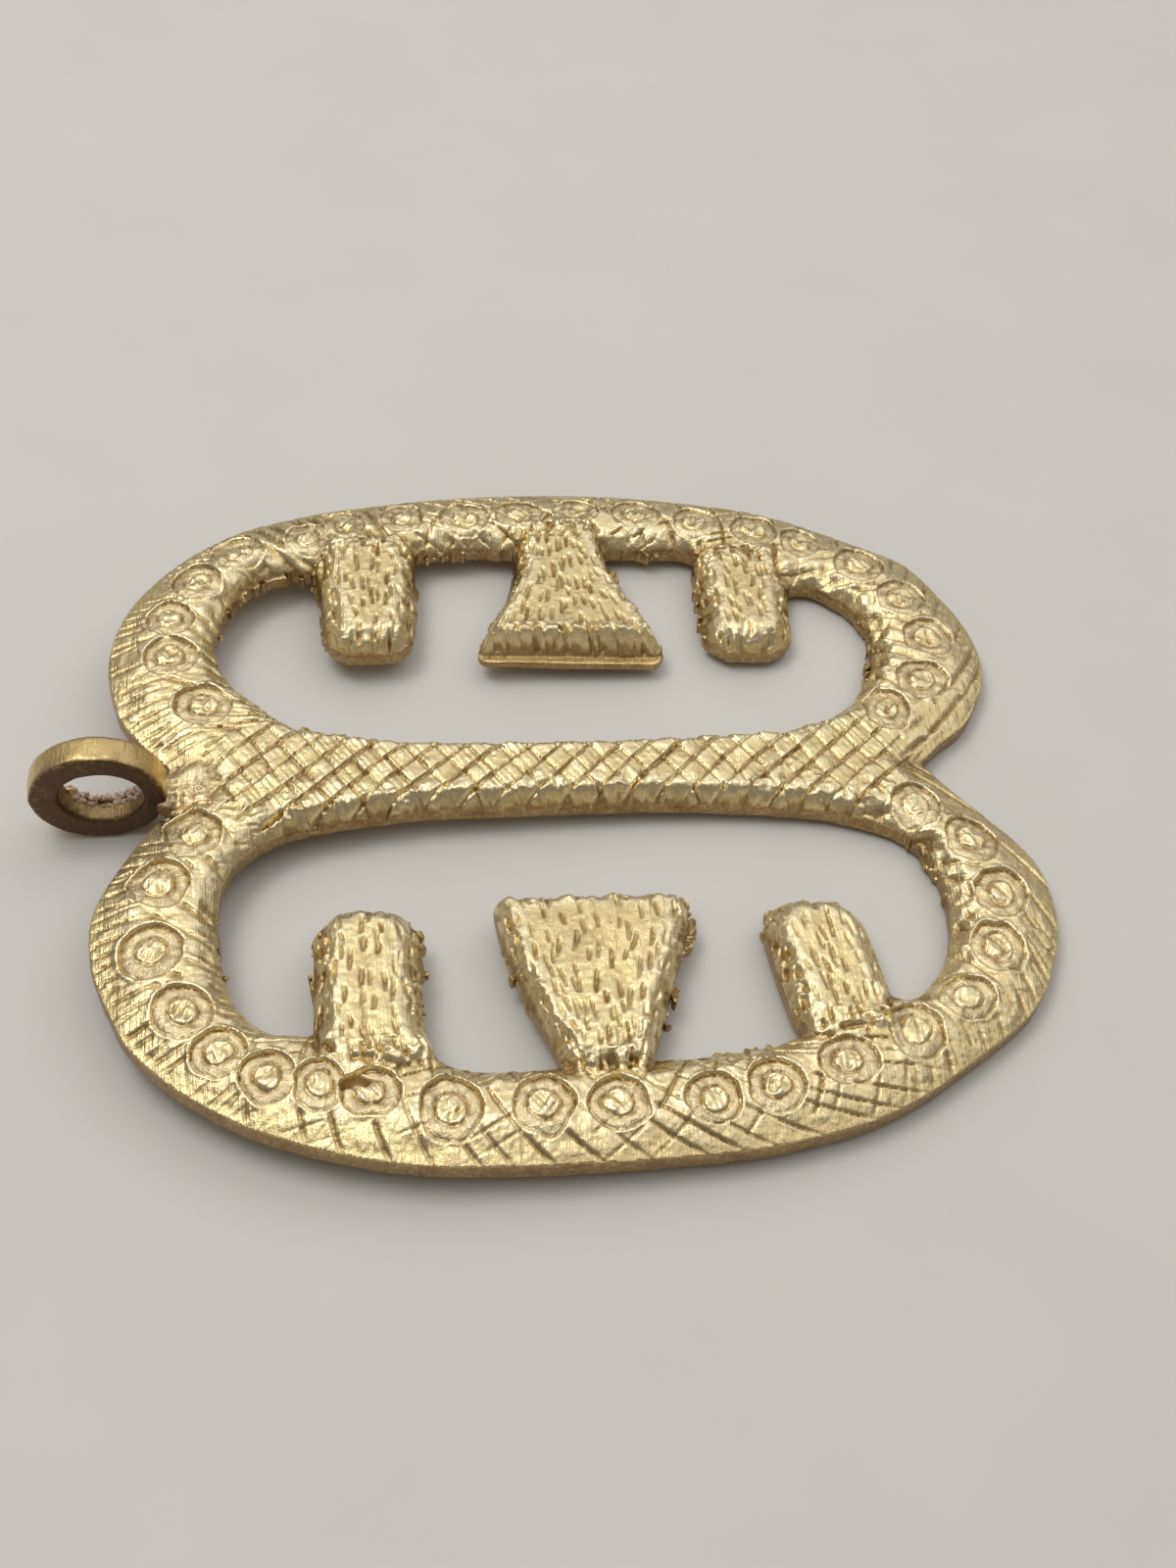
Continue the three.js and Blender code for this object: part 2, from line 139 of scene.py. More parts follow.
# Flash, thin ragged metal left along some edges: place, how far along, how far it stands out
FLASH = [
    (-23.5, -18, 5, 0.55), (-14.4, -19, 6, 0.6), (9.2, -16.5, 4.5, 0.75), (6, -24, 4, 0.6),
    (-7, -20.5, 5, 0.45), (14.9, -17, 4, 0.4), (9.5, 20.5, 5, 0.5), (7.5, 25.5, 3.5, 0.45),
    (15.4, 21.5, 5, 0.55), (-21.9, 22.5, 6, 0.45), (-12.7, 23, 4, 0.3), (-5.5, 20.5, 4, 0.3),
    (-29.5, 25, 5.5, 0.55), (-25, 28, 4, 0.45), (-9.5, 30.5, 4, 0.4), (12, 30.2, 4, 0.45),
    (31.5, 16, 6, 0.45), (-21.5, 7, 3.5, 0.7), (-12, 5.3, 4, 0.5), (10, 5, 5, 0.3),
    (10, -29.5, 4.5, 0.6), (-9.5, -30, 4, 0.4), (31.8, -11, 5, 0.4), (-30.8, -17, 5, 0.35),
]

# Hatching of the bar: its zone, and the direction of its two families of cuts, in degrees, their
# pitch, how long they stay straight, and their seed
HATCHED = dict(place=(0, 1.1), half=(32, 7.3))
HATCH_STRIPS = (43, 2.0, 6, 20)
HATCH_ROWS = (-56, 2.25, 5, 22)

# Families of cuts on the bands: how much they lean, how much their ends spread, their pitch, the
# widths of their two sides, their seed, and how far they bow, break off and miss their pitch
BAND_CUTS = {
    "rising": (1.0, 1.4, 2.8, 0.14, 0.42, 0, 0.1, 0.22, 0.5),
    "falling": (-1.1, 1.4, 3.0, 0.42, 0.14, 3, 0.1, 0.42, 0.5),
    "ridges": (-0.35, 1.0, 1.45, 0.16, 0.75, 15, 0.1, 0.12, 0.4),
    "filed": (0.15, 0.6, 1.1, 0.13, 0.42, 6, 0.05, 0.4, 0.5),
    "finely filed": (0.3, 0.8, 0.75, 0.13, 0.3, 9, 0.05, 0.65, 0.5),
    "chunky": (-0.7, 1.0, 2.0, 0.18, 0.9, 12, 0.08, 0.2, 0.5),
}
# On the right flanks they lie along arcs round this place and its mirror image
FAN_CENTRE = (7, 35)

# Pecks on the teeth: spacing of their columns, pitch and half-length along the tooth, and the
# share of them that is missing from each of three laid over each other
PECK_SPACING = 1.75
PECK_PITCH = 2.9
PECK_HALF = 0.9
PECK_MISSES = (0.05, 0.1, 0.3)

# Rosettes: place and radius of the outer groove, and how deep and clean the stamp went
UPPER_ROSETTES = [
    (-32.8, 9.4, 2.5, 1), (-35.9, 15.7, 2.5, 1), (-36.1, 20.6, 2.3, 0.9), (-33.7, 25.6, 2.5, 0.9),
    (-29.8, 29.7, 2.5, 0.7), (-23, 31.4, 2.3, 0.8), (-19.2, 33.6, 2.2, 0.6),
    (-13.6, 34.5, 2.3, 0.7), (-7.3, 34.1, 2.4, 0.8), (-1.7, 34.7, 2.2, 0.8), (4.3, 35, 2.2, 0.7),
    (10.3, 34.6, 2.4, 0.9), (16.2, 33.2, 2.3, 0.8), (22.3, 31.9, 2.5, 0.9), (26.7, 29.9, 2.2, 0.8),
    (32.2, 26.6, 2.6, 0.9), (35.7, 21.6, 2.4, 0.8), (37.1, 16, 2.5, 0.8), (35.4, 10.4, 2.5, 0.8),
    (31.1, 6.7, 2.4, 0.9),
]
LOWER_ROSETTES = [
    (-33.5, -5.5, 2.6, 1), (-36.1, -10.8, 2.6, 1), (-36.5, -17.9, 2.7, 1), (-33.9, -23.9, 2.6, 1),
    (-30.9, -27.9, 2.3, 1), (-27.1, -30.4, 2.3, 1), (-23, -31.4, 2.2, 1), (-19, -32.3, 2.3, 1.2),
    (-12.8, -34.1, 2.7, 1.1), (-5.4, -34.1, 2.6, 1.1), (0.6, -34.4, 2.5, 1.1),
    (8.3, -34.4, 2.3, 1.1), (13.6, -33.5, 2.4, 1.1), (19.9, -31.6, 2.4, 0.9), (26.2, -29, 2.5, 0.9),
    (31.3, -25.9, 2.3, 0.9), (35.3, -21, 2.5, 1), (36.9, -15.2, 2.5, 1), (35.6, -9.1, 2.5, 1),
    (31.5, -4.9, 2.4, 0.9),
]
# A stamp's section, as (share of the outer groove's radius, height)
ROSETTE_SECTION = [
    (0.0, 0.02), (0.3, 0.03), (0.42, 0.0), (0.47, -0.08), (0.53, -0.32), (0.58, -0.2),
    (0.68, -0.15), (0.82, -0.14), (0.9, -0.19), (0.955, -0.33), (1.0, -0.06), (1.05, 0.08),
    (1.12, 0.06), (1.25, 0),
]
STAMP_REACH = 1.25
PIT = dict(place=(-20.3, -31.2), half=(1.5, 0.7), depth=1.1)

# Wall and crest of the bands, teeth and neck
BAND_WALL = 1.75
BAND_CREST = 3.2
INNER_SHOULDER = 2.7
TOOTH_WALL = 1.5
TOOTH_CREST = 3.45
TOOTH_SHOULDER = 2.3
TOOTH_SHOULDERS = {"upper_middle_tooth": 1.5, "lower_middle_tooth": 1.7}
NECK = dict(place=(-34.4, 0.4), half=(3.0, 1.9), corner=1.7, wall=0.9, crest=2.3)
NOTCH = dict(place=(-34.5, 0.6), half=(1.3, 1))
BLOB = dict(place=(-33.8, 1.7), half=(1.2, 1), height=0.35)
FILLET = 0.8


# Noise, all of it seeded

def noise_at(x, y, size, seed):
    """Smooth lumps from -1 to 1, about size across."""
    table = np.random.default_rng(SEED * 1000 + seed).uniform(-1, 1, (256, 256))
    u = x / size + 17.3 * seed
    v = y / size + 9.1 * seed
    i = np.floor(u).astype(int)
    j = np.floor(v).astype(int)
    a = u - i
    b = v - j
    a = a * a * (3 - 2 * a)
    b = b * b * (3 - 2 * b)
    low = table[i % 256, j % 256] * (1 - a) + table[(i + 1) % 256, j % 256] * a
    high = table[i % 256, (j + 1) % 256] * (1 - a) + table[(i + 1) % 256, (j + 1) % 256] * a
    return low * (1 - b) + high * b


def chance(number, kind):
    """A fixed random share from 0 to 1 for each whole number."""
    table = np.random.default_rng(SEED * 77 + kind).random(1024)
    return table[np.asarray(number).astype(int) % 1024]


# Curves and distances in the plan

def smooth_arc(points, closed):
    """A Catmull-Rom curve through the points."""
    p = np.array(points, float)
    if closed:
        p = np.vstack([p[-1:], p, p[:2]])
    else:
        p = np.vstack([2 * p[:1] - p[1:2], p, 2 * p[-1:] - p[-2:-1]])
    t = np.arange(SPLINE_STEPS)[:, None] / SPLINE_STEPS
    pieces = []
    for a, b, c, d in zip(p, p[1:], p[2:], p[3:]):
        pieces.append(0.5 * (2 * b + (c - a) * t + (2 * a - 5 * b + 4 * c - d) * t ** 2
                             + (3 * b - 3 * c + d - a) * t ** 3))
    if not closed:
        pieces.append(p[-2:-1])
    return np.vstack(pieces)


def enclosed(starts, ends, x, y):
    """Whether each place is inside the closed outlines that the edges make."""
    found = np.zeros(x.shape, bool)
    for (ax, ay), (bx, by) in zip(starts, ends):
        if ay != by:
            crosses = (ay > y) != (by > y)
            found ^= crosses & (x < (bx - ax) * (y - ay) / (by - ay) + ax)
    return found


def depth_inside(loop, x, y):
    """Distance of each place from a closed outline, positive inside it."""
    after = np.roll(loop, -1, axis=0)
    nearest = np.full(x.shape, np.inf)
    for (ax, ay), (bx, by) in zip(loop, after):
        length = max((bx - ax) ** 2 + (by - ay) ** 2, 1e-9)
        t = np.clip(((x - ax) * (bx - ax) + (y - ay) * (by - ay)) / length, 0, 1)
        gap = (x - ax - t * (bx - ax)) ** 2 + (y - ay - t * (by - ay)) ** 2
        nearest = np.minimum(nearest, gap)
    return np.where(enclosed(loop, after, x, y), 1, -1) * np.sqrt(nearest)


def refining(count):
    """Rows that blend coarse samples into the fine grid, by a cubic through the four nearest."""
    fine = np.arange((count - 1) * COARSE + 1)[:, None] / COARSE
    base = np.minimum(fine.astype(int), count - 2)
    t = fine - base
    weights = [-t + 2 * t ** 2 - t ** 3, 2 - 5 * t ** 2 + 3 * t ** 3,
               t + 4 * t ** 2 - 3 * t ** 3, t ** 3 - t ** 2]
    rows = np.zeros((len(fine), count))
    near = np.clip(base + [-1, 0, 1, 2], 0, count - 1)
    np.add.at(rows, (np.arange(len(fine))[:, None], near), 0.5 * np.hstack(weights))
    return rows


def round_both(a, b, radius):
    """Depth inside both of two shapes, with their common corner rounded."""
    corner = np.hypot(np.maximum(radius - a, 0), np.maximum(radius - b, 0))
    return np.maximum(radius, np.minimum(a, b)) - corner


def round_either(a, b, radius):
    """Depth inside either of two shapes, with the corner between them filled."""
    return -round_both(-a, -b, radius)


def soft_max(a, b, blend):
    share = np.clip(0.5 + 0.5 * (a - b) / blend, 0, 1)
    return b * (1 - share) + a * share + blend * share * (1 - share)


def soft_min(a, b, blend):
    return -soft_max(-a, -b, blend)


def pairs(first, second):
    """Every pair of their members, as two flat arrays."""
    return [each.ravel() for each in np.meshgrid(first, second, indexing="ij")]


def ramp(value, start, end):
    """0 before start, 1 after end, smooth between."""
    t = np.clip((value - start) / (end - start), 0, 1)
    return t * t * (3 - 2 * t)


def shoulder(depth, wall, crest, width, power):
    """Height of a rounded shoulder: the wall's at the edge, the crest's past the width."""
    climb = np.clip(depth / width, 0, 1)
    slope = power * (crest - wall) / width
    return wall + (crest - wall) * (1 - (1 - climb) ** power) + np.minimum(depth, 0) * slope


def grid_blur(field, size):
    """The field, softened over about size."""
    for _ in range(2):
        place = np.arange(len(field)) * STEP / size
        rows = np.exp(-0.5 * (place[:, None] - place) ** 2)
        field = (rows / rows.sum(1, keepdims=True) @ field).T
    return field


# The grid, and the depth of metal over it

half_columns = round(GRID_HALF_X / STEP / COARSE) * COARSE
half_rows = round(GRID_HALF_Y / STEP / COARSE) * COARSE
grid_x = np.arange(-half_columns, half_columns + 1) * STEP
grid_y = np.arange(-half_rows, half_rows + 1) * STEP
X, Y = np.meshgrid(grid_x, grid_y)


def noise(size, seed):
    """Lumps over the whole grid, about size across."""
    return noise_at(X, Y, size, seed)


def offset(place, half=(1, 1)):
    """How far the grid is from a place along X and Y, in half-sizes."""
    return (X - place[0]) / half[0], (Y - place[1]) / half[1]


def drawn(loop):
    """Depth inside an outline, drawn coarsely and refined onto the grid."""
    x, y = X[::COARSE, ::COARSE], Y[::COARSE, ::COARSE]
    coarse = depth_inside(loop, x, y)
    return refining(coarse.shape[0]) @ coarse @ refining(coarse.shape[1]).T


outer_loop = np.vstack([smooth_arc(UPPER_ARC, False), smooth_arc(LOWER_ARC, False)])
outer_depth = drawn(outer_loop)
window_depths = [drawn(smooth_arc(loop, True)) for loop in (UPPER_WINDOW, LOWER_WINDOW)]
window_depth = np.maximum(*window_depths)
band_depth = np.minimum(outer_depth, -window_depth)


def tooth_sides(tooth):
    """Left and right side of a tooth at every place's level."""
    level, left, right = np.array(sorted(tooth["sides"])).T
    return np.interp(Y, level, left), np.interp(Y, level, right)


def tooth_parts(tooth, tip, corner):
    """Depth inside a tooth's sides and tip, and how far short of its root each place is."""
    left, right = tooth_sides(tooth)
    level = np.array([row[0] for row in tooth["sides"]])
    facing = np.sign(level[-1] - level[0])
    tip_level = np.interp(X, (left.min(), right.max()), tip)
    across = np.minimum(X - left, right - X)
    depth = round_both(across, (Y - tip_level) * facing, corner)
    return depth, (tooth["root"] - Y) * facing


def tooth_depth(tooth, tip, corner):
    return round_both(*tooth_parts(tooth, tip, corner), corner)


teeth_depth = {name: tooth_depth(tooth, tooth["tip"], tooth["corner"]) for name, tooth in TEETH.items()}
lip_depth = tooth_depth(TEETH[LIP_TOOTH], LIP_TIP, LIP_CORNER)
neck_x, neck_y = offset(NECK["place"])
neck_half = NECK["half"][1] + 1.2 * ramp(neck_x, -1.5, 2.0)
neck_depth = round_both(NECK["half"][0] - abs(neck_x), neck_half - abs(neck_y), NECK["corner"])

metal_depth = band_depth
for depth in [*teeth_depth.values(), lip_depth, neck_depth]:
    metal_depth = round_either(metal_depth, depth, FILLET)

# The hatched bar, and its cuts
hatched_x, hatched_y = offset(HATCHED["place"], HATCHED["half"])
hatched = 1 - ramp(hatched_x ** 4 + hatched_y ** 4, 0.85, 1.15)


def vee(gap, narrow, wide):
    """A cut's section: 1 at its bottom, 0 past its sides, which may slope unlike each other."""
    return np.clip(1 - np.where(gap < 0, -gap / narrow, gap / wide), 0, 1)


def cut_lines(across, along, pitch, narrow, wide, seed, wobble=0.12, broken=0.0, jitter=0.3):
    """Parallel hand-cut lines. Each has its own depth, bow and, where broken, its own ends."""
    bow = wobble * noise_at(across / 5, along, 6.0, seed)
    place = across / pitch + bow
    number = np.round(place)
    gap = (place - number - jitter * (chance(number, seed) - 0.5)) * pitch
    strength = 0.65 + 0.35 * chance(number, seed + 1)
    missing = noise_at(along, number * 3.7, 3.5, seed + 2) < 2 * broken - 1
    return np.where(missing, 0.0, strength) * vee(gap, narrow, wide)


def turned(x, y, degrees):
    """Coordinates along and across a direction."""
    c, s = cos(radians(degrees)), sin(radians(degrees))
    return x * c + y * s, y * c - x * s


def hatch_family(degrees, pitch, straight, seed, shift=0.0):
    """Number of the strip between two cuts, and how far each place is from the strip's middle,
    in strips, and past the nearer cut, in millimetres."""
    along, across = turned(X, Y, degrees)
    place = across / pitch + 0.16 * noise_at(across / 5, along, straight, seed) + shift
    strip = np.round(place)
    aside = place - strip
    return strip, aside, (aside - 0.5 * np.where(aside < 0, -1, 1)) * pitch


def bar_hatch():
    """Two families of cuts, which leave uneven lozenges with flat, tilted tops between them."""
    strip, aside, strip_cut = hatch_family(*HATCH_STRIPS)
    strip_cut += 0.1 * (chance(strip, 21) - 0.5) * HATCH_STRIPS[1]
    row, rise, row_cut = hatch_family(*HATCH_ROWS, 0.22 * (chance(strip, 23) - 0.5))
    along, across = turned(X, Y, HATCH_ROWS[0])
    number = strip * 37 + row * 11
    pillow = -0.14 * aside ** 2 - 0.12 * rise ** 2
    lean = 0.36 * (chance(number, 25) - 0.6) * rise + 0.4 * (chance(number, 26) - 0.4) * aside
    level = 0.12 * (chance(number, 27) - 0.5)
    strips = vee(strip_cut, 0.32, 0.13) * (0.65 + 0.35 * chance(strip, 28))
    rows = vee(row_cut, 0.13, 0.34) * (0.35 + 0.65 * chance(row + 3 * strip, 29))
    comb = ramp(noise(5.0, 61), -0.1, 0.4)
    fine = cut_lines(across, along, 0.62, 0.12, 0.3, 62, broken=0.35) * (0.4 + 0.6 * comb)
    smashed = ramp(noise_at(X + 3, Y, 4.5, 63) - 0.25 * (Y - 1), 0.35, 0.8)
    dents = 0.16 * abs(noise(1.3, 64)) - 0.22 * abs(noise(0.8, 65))
    cuts = -0.28 * strips - 0.28 * rows * (1 - 0.6 * smashed) - 0.11 * fine
    return 0.06 + pillow + lean + level + cuts + smashed * (dents + 0.05)


hatch = bar_hatch()

# Hand-filed edges wander a little, and the unfiled ones round the windows are crumbly
window_side = ramp(outer_depth, 3.0, 4.5)
lip_side = ramp(lip_depth - teeth_depth[LIP_TOOTH], 0.4, 0.8)
wander = 0.05 * noise(3.1, 1) + 0.02 * noise(0.9, 2)
crumble = 0.12 * noise(1.3, 3) + 0.09 * noise(0.55, 4)
crumble = crumble + 0.9 * hatched * hatch
metal_depth = metal_depth + wander - 0.07 + (1 - lip_side) * window_side * (crumble + 0.03)
flash = np.zeros(X.shape)
for *place, reach, stand in FLASH:
    flash = np.maximum(flash, stand * (1 - ramp(np.hypot(*offset(place)), 0.5 * reach, reach)))
ragged = 1.5 * noise(0.85, 36) + 1.1 * noise(0.4, 37)
metal_depth = metal_depth + flash * np.clip(ragged, 0, 1.1)


# Smooth body of the casting, before it is stamped and cut

def body_height():
    bar_side = hatched * ramp(-abs(X), -30.0, -22.0)
    wall = BAND_WALL - 0.15 - 0.7 * bar_side + 0.15 * noise(2.2, 19) * (1 + bar_side)
    band = shoulder(outer_depth, BAND_WALL, BAND_CREST, 4.2, 1.2)
    for window in window_depths:
        inner = shoulder(-window, wall, BAND_CREST, INNER_SHOULDER - 0.9 * bar_side, 2.0)
        band = soft_min(band, inner, 0.3)
    teeth = np.full(X.shape, -9.0)
    for name, tooth in TEETH.items():
        width = TOOTH_SHOULDERS.get(name, TOOTH_SHOULDER)
        depth, to_root = tooth_parts(tooth, tooth["tip"], tooth["corner"])
        sunk = 2.5 * ramp(-to_root, -1.5, 3.0)
        teeth = np.maximum(teeth, shoulder(depth, TOOTH_WALL, TOOTH_CREST, width, 2.0) - sunk)
    neck = shoulder(neck_depth, NECK["wall"], NECK["crest"], 1.6, 1.8)
    neck = neck + 0.5 * ramp(-X, 35.6, 37.0)
    return band, teeth, neck


band_body, teeth_body, neck_body = body_height()
on_tooth = ramp(teeth_body - band_body, -0.15, 0.25)
body = soft_max(soft_max(band_body, teeth_body, 0.9), neck_body, 1.4)


# Cuts, stamps and file marks

# Middle of a lobe over the bar, half-size of the oval along its band, and where the lobes meet
LOBE_CENTRE = 16
BAND_HALF = (36.6, 18.4)
NOTCH_LEVEL = 0.7


def lobe_place(centre_y, window):
    """How far along a lobe's loop each place is, from the bar round, and how far across its band."""
    from_bar = -np.sign(centre_y) * pi / 2
    angle = (np.arctan2(Y - centre_y, X) - from_bar) % (2 * pi)
    turn = np.linspace(0, 2 * pi, 721)
    middle_x = BAND_HALF[0] * np.cos(turn + from_bar)
    middle_y = BAND_HALF[1] * np.sin(turn + from_bar)
    run = np.concatenate([[0], np.cumsum(np.hypot(np.diff(middle_x), np.diff(middle_y)))])
    seen = np.unwrap(np.arctan2(middle_y, middle_x)) - from_bar
    along = np.interp(angle, seen, run)
    return along, (outer_depth - window) / 2


def band_cuts(centre_y, window, seed, crossing):
    """Slanting cuts round a lobe's crown, and file marks straight across its flanks."""
    along, across = lobe_place(centre_y, window)
    flank = ramp(abs(X), 26.0, 33.0)
    right = ramp(X, 20.0, 30.0)
    inner = ramp(across, -3.2, -1.2)
    outer = 1 - ramp(across, -1.6, 0.4)
    families = []
    for slant, stretch, pitch, narrow, wide, order, *rest in BAND_CUTS.values():
        places = (along + slant * across, stretch * across)
        families.append(cut_lines(*places, pitch, narrow, wide, seed + order, *rest))
    rising, falling, ridges, filed, finely_filed, chunky = families
    filed = filed + finely_filed
    crown = -0.3 * rising - 0.28 * falling * (0.35 + 0.65 * inner)
    ridged = crossing * ramp(-X, 7.0, 16.0)
    crown = (crown * (1 - ridged) - 0.26 * ridges * ridged) * (1 + 0.45 * crossing)
    crown *= 1 - 0.85 * right
    spread = np.hypot(*offset((FAN_CENTRE[0], np.sign(centre_y) * FAN_CENTRE[1])))
    fan = cut_lines(spread, along, 2.0, 0.55, 0.16, seed + 18, 0.12, 0.22, 0.6)
    fan += 0.4 * cut_lines(spread + 0.1 * along, along, 0.95, 0.12, 0.3, seed + 24, 0.08, 0.55, 0.5)
    filed = filed * (1 - 0.85 * right) * (0.03 + 0.15 * flank * outer)
    cuts = crown * (1 - 0.92 * flank) - filed - 0.24 * fan * right * (1 - 0.6 * inner)
    cuts = cuts - 0.3 * chunky * flank * (1 - outer)
    return cuts, along


upper = band_cuts(LOBE_CENTRE, -window_depths[0], 40, 1)
lower = band_cuts(-LOBE_CENTRE, -window_depths[1], 60, 0)
cuts, loop_run = [np.where(Y > NOTCH_LEVEL, *both) for both in zip(upper, lower)]
near_edge = ramp(-metal_depth, -2.2, -0.5)
relief = cuts * (1 - hatched) + hatch * hatched * (1 + 0.9 * near_edge)

# Lumps that the wax kept from its making, coarser beside the windows
lumps = 0.05 * noise(2.4, 5) - 0.1 * abs(noise(1.9, 6))
lumps += 0.07 * abs(noise(1.2, 45)) + 0.02
beside_window = ramp(window_depth, -3.2, -0.8) * (1 - hatched)
gouges = noise(0.8, 7) - abs(noise(1.5, 8))
relief += lumps + 0.14 * gouges * beside_window * (1 + 1.1 * ramp(X, 18, 28))


def stamp(field, x, y, radius, depth, number):
    """Presses one rosette into the relief."""
    reach = radius * STAMP_REACH
    rows = slice(*np.searchsorted(grid_y, (y - reach, y + reach)))
    spot = rows, slice(*np.searchsorted(grid_x, (x - reach, x + reach)))
    dx, dy = X[spot] - x, Y[spot] - y
    squeeze = 1 + 0.16 * (chance(number, 3) - 0.5)
    ring = np.hypot(dx * squeeze, dy / squeeze) / radius
    ring += 0.09 * noise_at(dx + 3 * number, dy, 1.3, 9)
    share, level = np.array(ROSETTE_SECTION).T
    tilt = radians(60 + 60 * chance(number, 4))
    lean = 1 + 0.5 * (dx * cos(tilt) + dy * sin(tilt)) / radius
    pressed = np.interp(ring, share, level) * depth * lean
    slant = 1.6 * (chance(number, 5) - 0.5)
    scratches = cut_lines(dx + dy * slant, dy, 0.62, 0.15, 0.3, 10 + number, broken=0.4)
    scratches += cut_lines(dx - dy * 0.8, dy, 0.9, 0.2, 0.3, 60 + number, broken=0.6)
    pressed -= 0.12 * scratches * (1 - ramp(ring, 0.3, 0.5))
    pressed += 0.07 * noise_at(dx + 7 * number, dy, 0.5, 17)
    pressed += 0.12 * noise_at(dx - 5 * number, dy, 0.75, 38) * (1 - ramp(ring, 0.35, 0.5))
    pressed += 0.35 * (1.1 - depth) * noise_at(dx + 2 * number, dy, 0.95, 70)
    cover = 1 - ramp(ring, 1.02, STAMP_REACH)
    field[spot] = field[spot] * (1 - cover) + (pressed + 0.3 * field[spot]) * cover
    channel = ramp(ring, 0.52, 0.62) * (1 - ramp(ring, 0.88, 0.98))
    frost[spot] = np.maximum(frost[spot], channel)


# Where the metal kept the dull, greyish skin of the casting
frost = np.zeros(X.shape)
for number, rosette in enumerate(UPPER_ROSETTES + LOWER_ROSETTES):
    stamp(relief, *rosette, number)


def pecks(tooth, seed):
    """Short marks punched along a tooth, scattered over columns that follow its flare."""
    left, right = tooth_sides(tooth)
    width = right - left
    middle = len(tooth["sides"]) // 2
    columns = round((tooth["sides"][middle][2] - tooth["sides"][middle][1]) / PECK_SPACING)
    place = (X - left) / width * columns - 0.5
    marks = np.zeros(X.shape)
    for layer in range(3):
        shifted = place + 0.37 * layer + 0.12 * noise(2.5, seed)
        column = np.round(shifted)
        rise = Y / PECK_PITCH + 0.41 * layer + chance(column + 13 * layer, seed)
        row = np.round(rise)
        number = column * 31 + row * 7 + seed + 211 * layer
        half = PECK_HALF * (0.65 + 0.7 * chance(number, 8))
        along = (rise - row + 0.5 * (chance(number, 7) - 0.5)) * PECK_PITCH
        aside = (shifted - column + 0.5 * (chance(number, 6) - 0.5)) * width / columns
        aside = aside + 0.22 * (chance(number, 11) - 0.5) * along
        taper = np.clip(1 - (along / half) ** 2, 0, 1)
        mark = np.sqrt(taper) * vee(aside, 0.16, 0.36 * (0.4 + 0.6 * np.sqrt(taper)))
        missed = chance(number, 10) < PECK_MISSES[layer]
        marks = np.maximum(marks, np.where(missed, 0, mark * (0.55 + 0.45 * chance(number, 9))))
    strands = 0.04 * noise_at(place * 2.2, Y / 2.2, 1.0, seed + 7)
    return strands - 0.32 * marks


# Each tooth is pecked, knocked about at its edges, and rough where it was joined to its band
for seed, (name, tooth) in enumerate(TEETH.items()):
    depth = teeth_depth[name]
    face = on_tooth * ramp(depth, 0.0, 0.4)
    grain = 0.03 * noise_at(X, Y * 0.4, 0.5, 12) + 0.05 * noise_at(X, Y * 0.5, 1.3, 18)
    near = ramp(depth, -0.6, 0.4) * on_tooth
    knocked = 0.05 + 0.22 * noise(1.0, 68 + seed) - 0.22 * abs(noise(0.65, 33 + seed))
    marked = pecks(tooth, 80 + seed) * face + grain + 0.4 * lumps
    marked += knocked * (1 - ramp(depth, 0.7, 2.1))
    relief = relief * (1 - near) + marked * near * (1 + 0.6 * (1 - ramp(depth, 0.6, 2.0)))
    past_root = -tooth_parts(tooth, tooth["tip"], tooth["corner"])[1]
    joined = ramp(depth, -1.0, 0.3) * ramp(past_root, -3.6, -2.0) * (1 - ramp(past_root, -0.6, 0.6))
    relief += joined * (0.18 * abs(noise(1.0, 66)) - 0.2 * abs(noise(0.7, 67)))

# The lip tooth ends in a fat ridge, notched across
depth = teeth_depth[LIP_TOOTH]
from_tip = Y - np.interp(X, TEETH[LIP_TOOTH]["sides"][0][1:], TEETH[LIP_TOOTH]["tip"])
ridge = np.exp(-((from_tip - LIP_RIDGE["place"]) / LIP_RIDGE["half"]) ** 2)
ridge *= LIP_RIDGE["height"] * on_tooth * ramp(depth, 0.2, 0.8)
notches = cut_lines(X + 0.45 * Y, Y, 1.25, 0.22, 0.62, 39, 0.1, 0.15, 0.5)
notches *= LIP_RIDGE["notches"] * ramp(depth, -0.1, 0.2) * (1 - ramp(from_tip, 1.4, 2.0))
relief += (ridge - notches) * (Y > TIP_BAND[0]) * (Y < TIP_BAND[1])

# Neck: rough, grainy and unfiled, with a smooth blob on its far side
rough = 0.13 * abs(noise(0.9, 13)) - 0.24 * abs(noise(0.5, 14))
rough += 0.1 * noise(0.32, 46)
notch = ramp(-np.hypot(*offset(NOTCH["place"], NOTCH["half"])), -3.0, -1.6)
relief = relief * (1 - notch) + rough * notch
blob = np.exp(-np.hypot(*offset(BLOB["place"], BLOB["half"])) ** 2)
relief += (BLOB["height"] - rough * notch) * blob
frost = np.maximum(frost, np.clip(0.75 * notch + 0.4 * blob, 0, 1))

# A deep blow hole beside one rosette
hole_x, hole_y = offset(PIT["place"], PIT["half"])
relief -= PIT["depth"] * (1 - ramp(np.hypot(hole_x, hole_y + 0.3 * hole_x ** 2), 0.3, 1.0))

# Fine casting grain everywhere
relief += 0.028 * noise(0.42, 15) + 0.018 * noise(0.3, 16)

